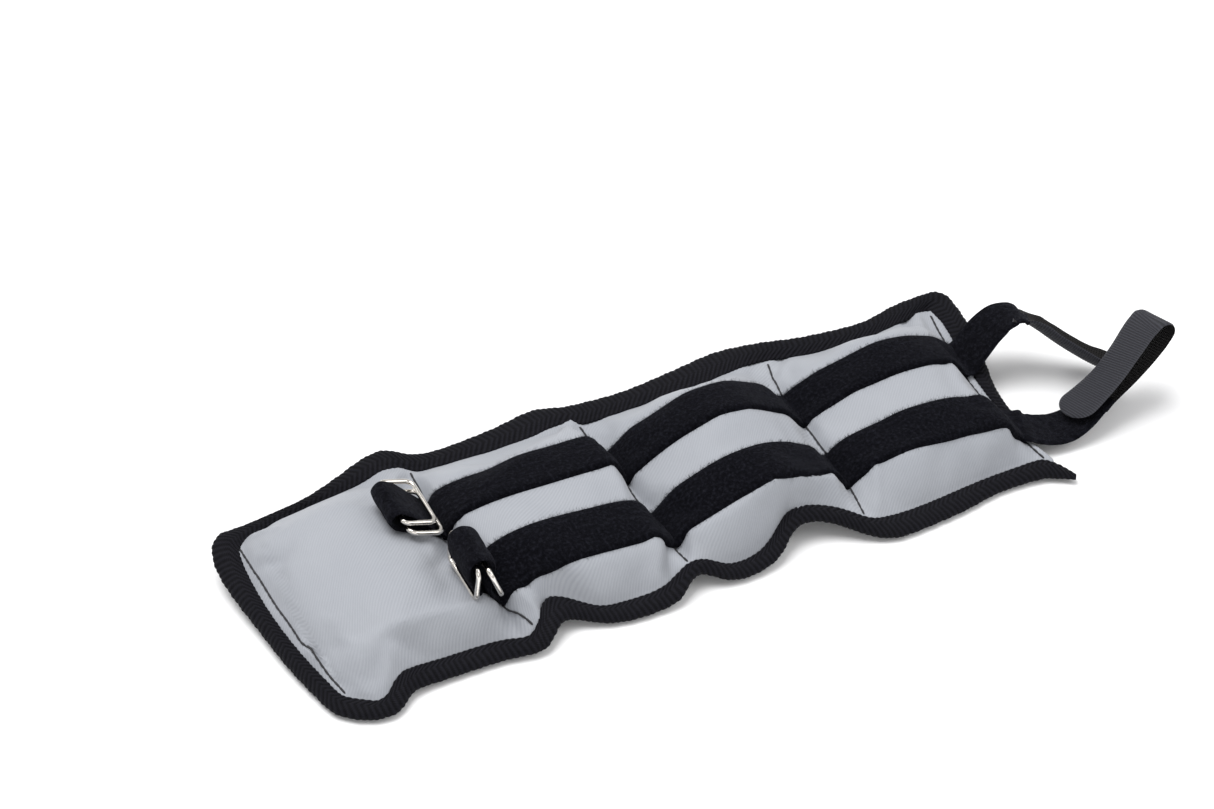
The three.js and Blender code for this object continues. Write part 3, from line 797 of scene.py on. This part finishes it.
def fabric_parts(kind, grid, normals, cloth, material):
    """Cuts a fabric at the cuff's cuts into one piece for each part."""
    pieces = []
    for part, first, last in zip(PARTS, CUTS[:-1], CUTS[1:]):
        cut = slice(first, last + 1)
        faces = grid_faces(last + 1 - first, grid.shape[1])
        piece = new_object(f"{kind}_{part}", grid[cut], faces, [material], cloth[cut], normals[cut])
        bend_at_seam(piece, part)
        stands_for(piece, f"{kind}_fabric", *[f"{kind}_panel_{n}" for n in PANELS[part]])
        pieces.append(piece)
    return pieces


for piece in fabric_parts("face", GRID, NORMALS, CLOTH_PLACE, FACE):
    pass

LOWEST_BACK = 0.25
SEAM_LIFT, SEAM_LIFT_REACH = 6.2, 9.5
HEM_THICK, HEM_REACH = 2.2, 9.0
LEAST_THICK = 1.9  # from the back to the face
RIPPLE = 0.35


def back_grid():
    """The underside: flat on the table in the middle of each pocket, rising to its seams and edges."""
    grid = GRID.copy()
    v = np.linspace(0, 1, grid.shape[1])
    front, rear = [grid[:, k, 2, None] - HEM_THICK for k in (1, -2)]
    edge_z = front * (1 - v) + rear * v
    for i, column in enumerate(GRID):
        x, y, z = column.T
        from_seam = np.min([abs(x - seam(y)) for seam in SEAM_LINES], axis=0)
        if not SEAM_COLUMNS[0] < i < SEAM_COLUMNS[-1]:
            from_seam = 0 * y
        hem = 1 - smoothstep(np.minimum(y - y[1], y[-2] - y) / HEM_REACH)
        lifted = np.maximum((1 - smoothstep(from_seam / SEAM_LIFT_REACH)) * SEAM_LIFT, LOWEST_BACK)
        back = np.minimum(lifted * (1 - hem) + edge_z[i] * hem, z - LEAST_THICK)
        grid[i, :, 2] = np.maximum(back, LOWEST_BACK)
    x, y, z = np.moveaxis(grid, 2, 0)
    ripple = RIPPLE * np.sin(x * 0.55 + 1.3 * np.sin(y * 0.21)) * np.sin(y * 0.33)
    grid[..., 2] = np.maximum(z + ripple * smoothstep(z / 4), 0.2)
    return grid


BACK_GRID = back_grid()
fabric_parts("back", BACK_GRID[:, ::-1], -grid_normals(BACK_GRID)[:, ::-1], CLOTH_PLACE[:, ::-1], BACK)


# Binding ---------------------------------------------------------------------

# Section of the folded tape: part of the way from its inner edge to its fold, and height in mm.
SECTION = np.array([
    (0.02, 0.75), (-0.045, 1.0), (-0.05, 1.45), (0.0, 1.85), (0.10, 2.05), (0.26, 2.3), (0.45, 2.4),
    (0.62, 2.3), (0.79, 1.95), (0.92, 1.3), (1.0, 0.45), (1.0, -0.5), (0.94, -1.15), (0.84, -1.55),
    (0.7, -1.75), (0.5, -1.8), (0.3, -1.75), (0.14, -1.65), (0.03, -1.5), (-0.03, -1.2), (0.02, -0.8)])
SECTION_POINTS = 46
TAPE_SIDE = 9  # width of the tape on each side of the edge
RIB_PITCH, RIB_DEPTH = 2.2, 0.42
STITCH_PITCH, STITCH_DENT = 3.3, 0.32


def binding_grid():
    """The folded tape's points, [along, round its section], and their places on the flat tape."""
    inner, width, along = B_INNER, B_OUTER - B_INNER, BINDING_ALONG[:, None]
    level = unit(width)
    up = unit(np.array([0, 0, 1.0]) - level[:, 2:] * level)
    section = np.concatenate([SECTION * [TAPE_SIDE, 1], np.zeros((len(SECTION), 1))], axis=1)
    section = evenly(section, SECTION_POINTS)
    a, h = section[:, 0] / TAPE_SIDE, section[:, 1]
    scale = 0.35 + 0.65 * smoothstep((along + 2) / 13)  # the loose tail is thin
    grid = inner[:, None] + a[None, :, None] * width[:, None] + (h[None, :] * scale)[..., None] * up[:, None]
    normals = grid_normals(grid)
    # ribs lean one way near the sewn edge and the other way towards the fold
    lean = 2.7 * np.abs(a - 0.42)
    wander = 0.6 * np.sin(along * 0.09) + 0.22 * np.sin(along * 0.37 + 1)
    phase = 2 * np.pi * ((along + wander) / RIB_PITCH + lean[None, :])
    rib = np.abs(np.cos(phase / 2)) ** 0.8
    rib = rib * 0.9 + 0.10 * (0.5 + 0.5 * np.sin(phase * 3 + 1.7))
    dent = np.exp(-((a - 0.16) / 0.05) ** 2)[None, :] * (0.5 + 0.5 * np.cos(2 * np.pi * along / STITCH_PITCH))
    dent = dent * (h > 0)  # of the stitches, on the top only
    grid = grid + normals * (RIB_DEPTH * (rib - 0.6) - STITCH_DENT * dent)[..., None]
    grid = grid + normals * (0.16 * np.sin(along * 0.9) * np.sin(a * 7)[None, :])[..., None]
    grid[..., 2] = np.maximum(grid[..., 2], 0.15)
    cloth = np.stack([along + 0 * a, TAPE_SIDE * a[None, :] + 0 * along + (h < 0)[None, :] * 20, rib], axis=2)
    return grid, cloth


def binding_cuts():
    """Where the binding starts, where it crosses the middles of pockets 2 and 3, and where it ends."""
    x = B_INNER[:, 0]
    front = [int(np.argmin(abs(x[:PLAIN_TURN] - c))) for c in CUT_X]
    rear = [PLAIN_TURN + int(np.argmin(abs(x[PLAIN_TURN:STRAP_TURN] - c))) for c in CUT_X]
    return [0, *front[::-1], *rear, len(x) - 1]


BINDING_GRID, BINDING_CLOTH = binding_grid()
BINDING_NORMALS = ring_normals(BINDING_GRID)
BINDING_CUTS = binding_cuts()
BINDING_PIECES = [
    ("right_front", "right", ["front_binding_4"]),
    ("middle_front", "middle", ["front_binding_3"]),
    ("left", "left", [
        "front_binding_1", "front_binding_2", "rear_binding_1", "rear_binding_2", "left_end_binding"]),
    ("middle_rear", "middle", ["rear_binding_3"]),
    ("right", "right", ["rear_binding_4", "right_end_binding"]),
]
for (name, part, nodes), first, last in zip(BINDING_PIECES, BINDING_CUTS[:-1], BINDING_CUTS[1:]):
    cut = slice(first, last + 1)
    faces = capped(last + 1 - first, SECTION_POINTS, first == 0, last == BINDING_CUTS[-1])
    piece = new_object(f"binding_{name}", BINDING_GRID[cut], faces, [BINDING],
                       BINDING_CLOTH[cut], BINDING_NORMALS[cut])
    bend_at_seam(piece, part)
    stands_for(piece, "binding_tape", *nodes)


# Straps ----------------------------------------------------------------------

STRAPS = {"rear": (14.7, -2.5), "front": (-22.8, -5.6)}  # y of the middle, and its drift in the last pocket
STRAP_ROWS = 23
STRAP_COLUMNS = np.arange(SEAM_COLUMNS[1], SEAM_COLUMNS[4] + 1)
STRAP_SPLIT = CUTS[2] - SEAM_COLUMNS[1]
STRAP_PARTS = [("middle", 0, STRAP_SPLIT, (2, 3)), ("right", STRAP_SPLIT, len(STRAP_COLUMNS) - 1, (4,))]
PILE_ROUGHNESS = 0.045
SUNK = 0.35  # of a sewn strap's underside into the face fabric
PLACE_UNDER = 37  # mm from the places of a band's top to those of its underside

RNG = np.random.default_rng(7)
NOISE = soften(RNG.normal(size=(700, 64)), 1.2, 1.0)
NOISE /= NOISE.std()


def strap_base(strap):
    """Points and normals of the fabric under a strap, [column, row], from seam 1 to seam 4."""
    middle, drift = STRAPS[strap]
    last_pocket = (STRAP_COLUMNS - SEAM_COLUMNS[3]) / (SEAM_COLUMNS[4] - SEAM_COLUMNS[3])
    across = STRAP_WIDTH * np.linspace(-0.5, 0.5, STRAP_ROWS)
    y = (middle + drift * smoothstep(last_pocket))[:, None] + across[None, :]
    points = np.empty((*y.shape, 3))
    for i, column in enumerate(GRID[STRAP_COLUMNS]):
        for k in range(3):
            points[i, :, k] = np.interp(y[i], column[:, 1], column[:, k])
    points = blur(points, 1.6, 1)
    points[:, :, 1] = y
    points = blur(points, 1.0, 0)
    return points, grid_normals(points)


def wrap(top, bottom, cloth_top):
    """The closed rings of a band from its top and bottom grids, and their places on the cloth."""
    ring = np.concatenate([top, bottom[:, ::-1]], axis=1)
    return ring, np.concatenate([cloth_top, cloth_top[:, ::-1] + [0, PLACE_UNDER, 0]], axis=1)


def sewn_strap(strap):
    """Makes both parts of a sewn strap. Gives the normals under it and its upper surface."""
    points, normals = strap_base(strap)
    nu = len(points)
    profile = STRAP_THICK * (1 - np.abs(np.linspace(-1, 1, STRAP_ROWS)) ** 9) ** 0.5  # rounded at both edges
    pile = profile[None, :] * (1 + PILE_ROUGHNESS * NOISE[:nu, :STRAP_ROWS])
    top = points + normals * (pile[..., None] + 0.05)
    bottom = points - normals * SUNK
    across = STRAP_WIDTH * np.linspace(0, 1, STRAP_ROWS)
    flat = np.meshgrid(lengths(points[:, STRAP_ROWS // 2]), across, indexing="ij")
    ring, place = wrap(top, bottom, np.stack([*flat, 0 * flat[0]], axis=2))
    ring_normal = ring_normals(ring)
    for part, first, last, pockets in STRAP_PARTS:
        cut = slice(first, last + 1)
        faces = capped(last + 1 - first, ring.shape[1], first == 0, last == nu - 1)
        piece = new_object(f"{strap}_strap_{part}", ring[cut], faces, [VELOUR], place[cut], ring_normal[cut])
        bend_at_seam(piece, part)
        stands_for(piece, "loop_velour", *[f"{strap}_strap_{n}" for n in pockets])
    return normals, top


SEWN = {strap: sewn_strap(strap) for strap in STRAPS}
TAPE_RIB_PITCH = 1.02


def ribbon(name, knots, width, thick, steps, rows, materials, curl=lambda t: 0 * t, end_round=0.0,
           rib=0.0, fuzz=0.0, part=slice(None)):
    """A flat band along knots [x, y, z, tilt in degrees]. `curl` is the angle its section bends
    through, up at both edges. `part` keeps only some of its steps, and a second material is for
    its top side."""
    line = spline(knots, steps)
    t = np.linspace(0, 1, steps)
    tangent = unit(np.gradient(line[:, :3], axis=0))
    tilt = np.radians(line[:, 3])
    across = np.stack([0 * tilt, np.cos(tilt), -np.sin(tilt)], axis=1)
    across = unit(across - (across * tangent).sum(axis=1, keepdims=True) * tangent)
    out = np.cross(tangent, across)
    along = lengths(line)
    b = np.linspace(-0.5, 0.5, rows)
    inset = np.ones(steps)  # a rounded end pulls the corners in
    if end_round > 0:
        near = np.clip(1 - (along[-1] - along) / end_round, 0, 1)
        inset = np.sqrt(np.clip(1 - near**2, 0.0004, 1))
    angle = np.maximum(curl(t), 1e-4)[:, None]
    bend = angle * b[None, :] * inset[:, None]
    radius = width / angle
    side, lift = radius * np.sin(bend), radius * (1 - np.cos(bend))
    middle = line[:, None, :3] + across[:, None] * side[..., None] + out[:, None] * lift[..., None]
    face = grid_normals(middle)
    edge = (1 - np.abs(2 * b) ** 8)[None, :] ** 0.5
    half = thick / 2 * edge * np.minimum(1, 0.3 + 0.7 * inset[:, None])
    ribs = (0.5 + 0.5 * np.cos(2 * np.pi * along / TAPE_RIB_PITCH))[:, None] + 0 * b[None, :]
    top = middle + face * (half + fuzz * NOISE[:steps, :rows] * edge)[..., None]
    bottom = middle - face * (half + rib * ribs * edge)[..., None]
    cloth = np.stack([along[:, None] + 0 * b, width * (b[None, :] + 0.5) + 0 * ribs, ribs], axis=2)
    ring, place = wrap(top[part], bottom[part], cloth[part])
    faces = capped(len(ring), 2 * rows)
    slots = None
    if len(materials) > 1:
        slots = [f < (len(ring) - 1) * 2 * rows and f % (2 * rows) < rows - 1 for f in range(len(faces))]
    return new_object(name, ring, faces, materials, place, None, slots)


def tucked(strap):
    """The first two knots of a free strap, level with the end of its sewn part."""
    top = SEWN[strap][1][:, STRAP_ROWS // 2]
    return [[*(top[-5] - [0, 0, 1.8]), 0], [*(top[-1] + [0, 0, 0.1 - STRAP_THICK / 2]), 0]]


REAR_FREE = [
    *tucked("rear"), [144.4, 12.2, 11, 0], [148, 12.4, 15.5, 2], [153.5, 13, 20.5, 6],
    [159.5, 12.8, 24.2, 10], [165, 10.6, 25.2, 12], [168.5, 7.6, 23.7, 12],
]
REAR_TAPE = [
    [163.6, 11.4, 24.4, 12], [167.5, 8.4, 23.2, 11], [171.5, 4.4, 20.6, 7], [176, 0, 17, 5],
    [182, -5.4, 12.6, 7], [188, -10.8, 9, 9], [193.5, -15.4, 6.8, 10],
]
FRONT_FREE = [
    *tucked("front"), [144, -30.2, 6.6, 0], [148, -32, 5.2, 0], [154, -33.6, 3.8, 2],
    [160, -34, 3.4, 7], [167, -33.6, 4.8, 15], [173, -32.4, 7.4, 20], [178.6, -31, 10.4, 20],
]
# the front tape out to its fold and back along its tab
FRONT_LOOP = [
    [174.6, -32, 7, 20], [178.7, -30.8, 9.4, 20], [190, -28.4, 15.2, 18], [199, -26.6, 21.4, 16],
    [205.6, -24.9, 26.4, 16], [208.8, -23.6, 30, 16], [208, -23, 32.6, 17], [204.4, -22.9, 33.9, 18],
    [200.4, -23.2, 31.2, 20], [191.4, -26, 23.4, 24], [182.6, -28.8, 17.2, 23], [172, -31, 11.6, 17],
    [162, -32.6, 7.6, 10],
]
FOLD_KNOT = FRONT_LOOP[7][:3]
LOOP_STEPS = 600
FOLD_STEP = int(np.argmin(np.abs(spline(FRONT_LOOP, LOOP_STEPS)[:, :3] - FOLD_KNOT).sum(axis=1)))
VELOUR_BAND = {"thick": STRAP_THICK, "rows": 23, "materials": [VELOUR], "fuzz": 0.09}
HOOK_BAND = {"width": 19.5, "thick": 1.0, "materials": [TAPE, HOOKS], "rib": 0.16}

piece = ribbon("rear_strap_end", REAR_FREE, STRAP_WIDTH, steps=90, **VELOUR_BAND)
blend_over(piece, unit(np.array([1, 0, 0.4])))
stands_for(piece, "loop_velour", "rear_strap_free")

piece = ribbon("front_strap_end", FRONT_FREE, STRAP_WIDTH, steps=100, **VELOUR_BAND)
blend_over(piece, np.array([1.0, 0, 0]))
stands_for(piece, "loop_velour", "front_strap_free")

piece = ribbon("rear_hook_tape_end", REAR_TAPE, steps=240, rows=21, **HOOK_BAND,
               curl=lambda t: 0.3 + 1.4 * smoothstep(t / 0.3) + 0.3 * t)
blend_over(piece, unit(np.array([1, 0, -0.4])))
stands_for(piece, "hook_tape", "rear_hook_tape")

piece = ribbon("front_hook_tape_out", FRONT_LOOP, steps=LOOP_STEPS, rows=19,
               part=slice(0, FOLD_STEP + 1), **HOOK_BAND)
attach(piece, "front_strap")
stands_for(piece, "hook_tape", "front_hook_tape")

piece = ribbon("front_hook_tab_end", FRONT_LOOP, steps=LOOP_STEPS, rows=19,
               part=slice(FOLD_STEP, None), end_round=8, **HOOK_BAND)
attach(piece, "front_tab")
stands_for(piece, "hook_tape", "front_hook_tab")


# Keepers and rings -----------------------------------------------------------

KEEPER_WIDTH = 19.4
KEEPER_LOOPS = {
    "rear": [
        (-80.4, 9.4), (-83.4, 11.9), (-89.5, 16.2), (-96.5, 20.1), (-102, 23.8), (-103.8, 28.2),
        (-100.8, 30.9), (-96.2, 28.2), (-90, 20.9), (-84.8, 14.8), (-81.6, 11.4), (-79.5, 9.4)],
    "front": [
        (-80.6, 9.6), (-82.2, 12.4), (-85, 16), (-87.6, 21), (-89.4, 27.2), (-88.8, 32.2), (-84.7, 34.1),
        (-80.5, 31.6), (-80, 26.8), (-81.5, 21), (-81.6, 16), (-79.6, 11.9), (-78, 9.6)],
}
for strap, loop in KEEPER_LOOPS.items():
    knots = [[x, STRAPS[strap][0], z, 0] for x, z in loop]
    piece = ribbon(f"{strap}_keeper_loop", knots, KEEPER_WIDTH, steps=150, **{**VELOUR_BAND, "thick": 1.8})
    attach(piece, "pocket_2")
    stands_for(piece, "loop_velour", f"{strap}_keeper")

WIRE, WIRE_SIDES = 1.9, 16
RING_INSIDE, RING_THROW, RING_CORNER = 22.3, 13.4, 2.9
RING_STEPS = 120
# each ring's strap, its angle from lying flat and how far it stands off the middle of the strap
RINGS = {"rear_ring_upper": ("rear", -20, 1.15), "rear_ring_lower": ("rear", -21, -1.15),
         "front_ring_left": ("front", -97, 1.15), "front_ring_right": ("front", -72, -1.15)}


def ring_line():
    """A ring's flat centre line, with its bar on x = 0: four round corners joined by straight sides."""
    near, far = RING_CORNER, RING_THROW - RING_CORNER
    half = (RING_INSIDE + WIRE) / 2 - RING_CORNER
    line = []
    for x, y, start in ((near, half, 180), (far, half, 90), (far, -half, 0), (near, -half, -90)):
        for a in np.radians(np.linspace(start, start - 90, 9)):
            line.append((x + RING_CORNER * math.cos(a), y + RING_CORNER * math.sin(a), 0))
    return evenly(np.array(line + line[:1], float), RING_STEPS + 1)[:-1]


for name, (strap, angle, offset) in RINGS.items():
    at = np.array(JOINTS[name + "_swing"]["pos_m"]) / MM - SHIFT
    at[1] = STRAPS[strap][0] + offset
    a = math.radians(angle)
    x, y, _ = ring_line().T
    line = np.stack([x * math.cos(a), y, x * math.sin(a)], axis=1) + at
    points, faces = tube(line, WIRE / 2, WIRE_SIDES, closed=True)
    along = np.repeat(np.arange(RING_STEPS) * 0.6, WIRE_SIDES)
    around = np.tile(np.arange(WIRE_SIDES) * 0.4, RING_STEPS)
    piece = new_object(name + "_wire", points, faces, [NICKEL], np.stack([along, around, 0 * along], axis=1))
    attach(piece, name)
    stands_for(piece, "ring_wire", name)


# Stitching -------------------------------------------------------------------

STITCH, STITCH_GAP, THREAD = 3.1, 0.12, 0.42  # length of a stitch, gap after it and the thread's radius
THREAD_LIFT, THREAD_ARCH, THREAD_DIP = 0.12, 0.28, 0.16
THREAD_STEPS, THREAD_SIDES = 9, 8


def seam_stitches(name, column, body):
    """Separate stitches along a seam, each a short thread that dips into the cloth at both ends."""
    along = lengths(GRID[column, 2:-2])
    pitch = STITCH + STITCH_GAP
    arch = np.sin(np.linspace(0, np.pi, THREAD_STEPS)) ** 0.5
    points, faces, places = [], [], []
    for k in range(int(along[-1] / pitch)):
        ts = np.linspace(k * pitch + STITCH_GAP / 2, (k + 1) * pitch - STITCH_GAP / 2, THREAD_STEPS)
        centre, up = [np.stack([np.interp(ts, along, v) for v in grid[column, 2:-2].T], axis=1)
                      for grid in (GRID, NORMALS)]
        centre = centre + unit(up) * (THREAD_LIFT + THREAD_ARCH * arch - THREAD_DIP)[:, None]
        thread, thread_faces = tube(centre, THREAD * (0.72 + 0.28 * arch), THREAD_SIDES)
        faces += [[i + k * len(thread) for i in face] for face in thread_faces]
        points.append(thread)
        around = np.tile(np.arange(THREAD_SIDES) * 0.28, THREAD_STEPS)
        places.append(np.stack([np.repeat(ts, THREAD_SIDES), around, 0 * around], axis=1))
    piece = new_object(name + "_thread", np.concatenate(points), faces, [THREAD_LOOK], np.concatenate(places))
    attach(piece, body)
    stands_for(piece, "thread", name)


seam_stitches("end_stitch_left", SEAM_COLUMNS[0], "pocket_1")
seam_stitches("seam_stitch_1", SEAM_COLUMNS[1] + 1, "pocket_2")
seam_stitches("seam_stitch_2", SEAM_COLUMNS[2] - 1, "pocket_2")
seam_stitches("seam_stitch_3", SEAM_COLUMNS[3] + 1, "pocket_4")
seam_stitches("end_stitch_right", SEAM_COLUMNS[4], "pocket_4")


# Inner bags and shot ---------------------------------------------------------

def inside_pillow(pocket, inset, gap_top, gap_bottom):
    """A closed pillow between the back and the face of a pocket."""
    c0, c1 = SEAM_COLUMNS[pocket - 1], SEAM_COLUMNS[pocket]
    columns = np.unique(np.linspace(c0 + inset, c1 - inset, 15).astype(int))
    rows = np.unique(np.linspace(inset + 2, GRID.shape[1] - 3 - inset, 17).astype(int))
    inner = np.ix_(columns, rows)
    low = np.minimum(soften(GRID[..., 2], 2.5, 2.5), GRID[..., 2])
    high, base = low[inner] - gap_top, BACK_GRID[..., 2][inner] + gap_bottom
    nu, nv = high.shape
    u = np.sin(np.pi * np.linspace(0, 1, nu))[:, None]
    v = np.sin(np.pi * np.linspace(0, 1, nv))[None, :]
    middle, full = (high + base) / 2, (u * v) ** 0.18
    points = np.stack([GRID[inner], GRID[inner]])
    points[0, ..., 2] = middle + (high - middle) * full
    points[1, ..., 2] = middle - (middle - base) * full
    faces = grid_faces(nu, nv)
    faces += [[k + nu * nv for k in face[::-1]] for face in faces]
    ids = np.arange(nu * nv).reshape(nu, nv)
    border = [*ids[:, 0], *ids[-1, 1:], *ids[-2::-1, -1], *ids[0, -2:0:-1]]
    for a, b in zip(border, border[1:] + border[:1]):
        faces.append([int(k) for k in (b, a, a + nu * nv, b + nu * nv)])
    return points, faces


FILLINGS = [("weight_bag", 3, 1.5, 1.1, BAG, "bag_cloth"), ("shot_fill", 4, 2.3, 1.9, SHOT, "shot")]
for pocket in range(1, POCKETS + 1):
    for kind, inset, gap_top, gap_bottom, material, slot in FILLINGS:
        points, faces = inside_pillow(pocket, inset, gap_top, gap_bottom)
        piece = new_object(f"{kind}_{pocket}_inside", points, faces, [material])
        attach(piece, f"pocket_{pocket}")
        stands_for(piece, slot, f"{kind}_{pocket}")


# Loose fibres of the velour ----------------------------------------------------

FIBRES = 2400
EDGE_FIBRES = 0.66  # part of them that stand on the strap's two edges
FIBRE_HALF = 0.045


def fibres(base, normals, seed):
    """Short loose fibres on a strip, each a bent three-sided spike."""
    rng = np.random.default_rng(seed)
    nu, nv = base.shape[:2]
    points, faces = [], []
    for k in range(0, 7 * FIBRES, 7):
        i = rng.uniform(0, nu - 1.001)
        if rng.random() < EDGE_FIBRES:
            j = 0 if rng.random() < 0.5 else nv - 1.001
            j = abs(j - rng.uniform(0, 0.8))
        else:
            j = rng.uniform(0, nv - 1.001)
        a, b = int(i), min(int(j), nv - 2)
        fi, fj = i - a, j - b
        at = ((1 - fi) * (1 - fj) * base[a, b] + fi * (1 - fj) * base[a + 1, b]
              + (1 - fi) * fj * base[a, b + 1] + fi * fj * base[a + 1, b + 1])
        normal = normals[a, b]
        sideways = unit(base[a, nv - 1] - base[a, 0]) * (1 if j > nv / 2 else -1)
        edge = 1.0 if (j < 1.2 or j > nv - 2.4) else 0.15
        heading = normal * rng.uniform(0.5, 1.1) + sideways * edge * rng.uniform(0.2, 1.2)
        heading = unit(heading + rng.normal(size=3) * 0.55)
        size = rng.uniform(0.5, 1.9)
        curl = unit(rng.normal(size=3)) * 0.35 * size
        wide = unit(np.cross(heading, rng.normal(size=3))) * FIBRE_HALF
        deep = unit(np.cross(heading, wide)) * FIBRE_HALF
        root, bent = at - normal * 0.15, at + heading * size * 0.5 + curl * 0.4
        points += [root + wide, root - wide * 0.5 + deep, root - wide * 0.5 - deep]
        points += [bent + wide * 0.8, bent - wide * 0.4 + deep * 0.8, bent - wide * 0.4 - deep * 0.8]
        points.append(at + heading * size + curl)
        for m, n in ((0, 1), (1, 2), (2, 0)):
            faces.append([k + m, k + n, k + 3 + n, k + 3 + m])
            faces.append([k + 3 + m, k + 3 + n, k + 6])
    return np.array(points), faces


for number, (strap, (normals, top)) in enumerate(SEWN.items()):
    for part, first, last, _ in STRAP_PARTS:
        cut = slice(first, last + 1)
        points, faces = fibres(top[cut], normals[cut], 20 + number * 2 + first)
        piece = new_object(f"{strap}_strap_{part}_fibres", points, faces, [VELOUR], points)
        bend_at_seam(piece, part)


# Floor, light and camera, in metres --------------------------------------------

FLOOR_HALF, FLOOR_Z = 6, -0.0002
mesh = bpy.data.meshes.new("floor")
corners = [(x * FLOOR_HALF, y * FLOOR_HALF, FLOOR_Z) for x, y in ((-1, -1), (1, -1), (1, 1), (-1, 1))]
mesh.from_pydata(corners, [], [(0, 1, 2, 3)])
mesh.materials.append(floor_look())
add("floor", mesh)


def aimed(name, data, location, target):
    """Adds a light or camera that looks from its place to a target."""
    obj = add(name, data)
    obj.location = location
    obj.rotation_euler = (Vector(target) - Vector(location)).to_track_quat("-Z", "Y").to_euler()
    return obj


def area_light(name, location, size, power):
    data = bpy.data.lights.new(name, "AREA")
    data.shape = "RECTANGLE"
    data.size, data.size_y = size
    data.energy = power
    aimed(name, data, location, (0, 0, 0))


area_light("key", (-0.35, 0.55, 1.9), (1.5, 1.5), 42)
area_light("fill", (1.2, -0.7, 1.3), (1.2, 1.2), 8)
area_light("front", (-0.5, -1.6, 1.0), (1.6, 0.9), 5)

scene = bpy.context.scene
scene.world = bpy.data.worlds.new("studio")
scene.world.use_nodes = True
background = scene.world.node_tree.nodes["Background"]
background.inputs["Color"].default_value = (1.0, 1.0, 1.0, 1)
background.inputs["Strength"].default_value = 0.55
scene.view_settings.view_transform = "Standard"
scene.view_settings.look = "None"

CAMERA_AT = (-305.9, -587.4, 621.3)
CAMERA_AIM = (8.06, 58.79, 0.0)
data = bpy.data.cameras.new("camera")
data.lens = 71.17
data.sensor_width = 36
data.clip_end = 20
scene.camera = aimed("camera", data, to_frame(CAMERA_AT), to_frame(CAMERA_AIM))

bpy.context.view_layer.update()
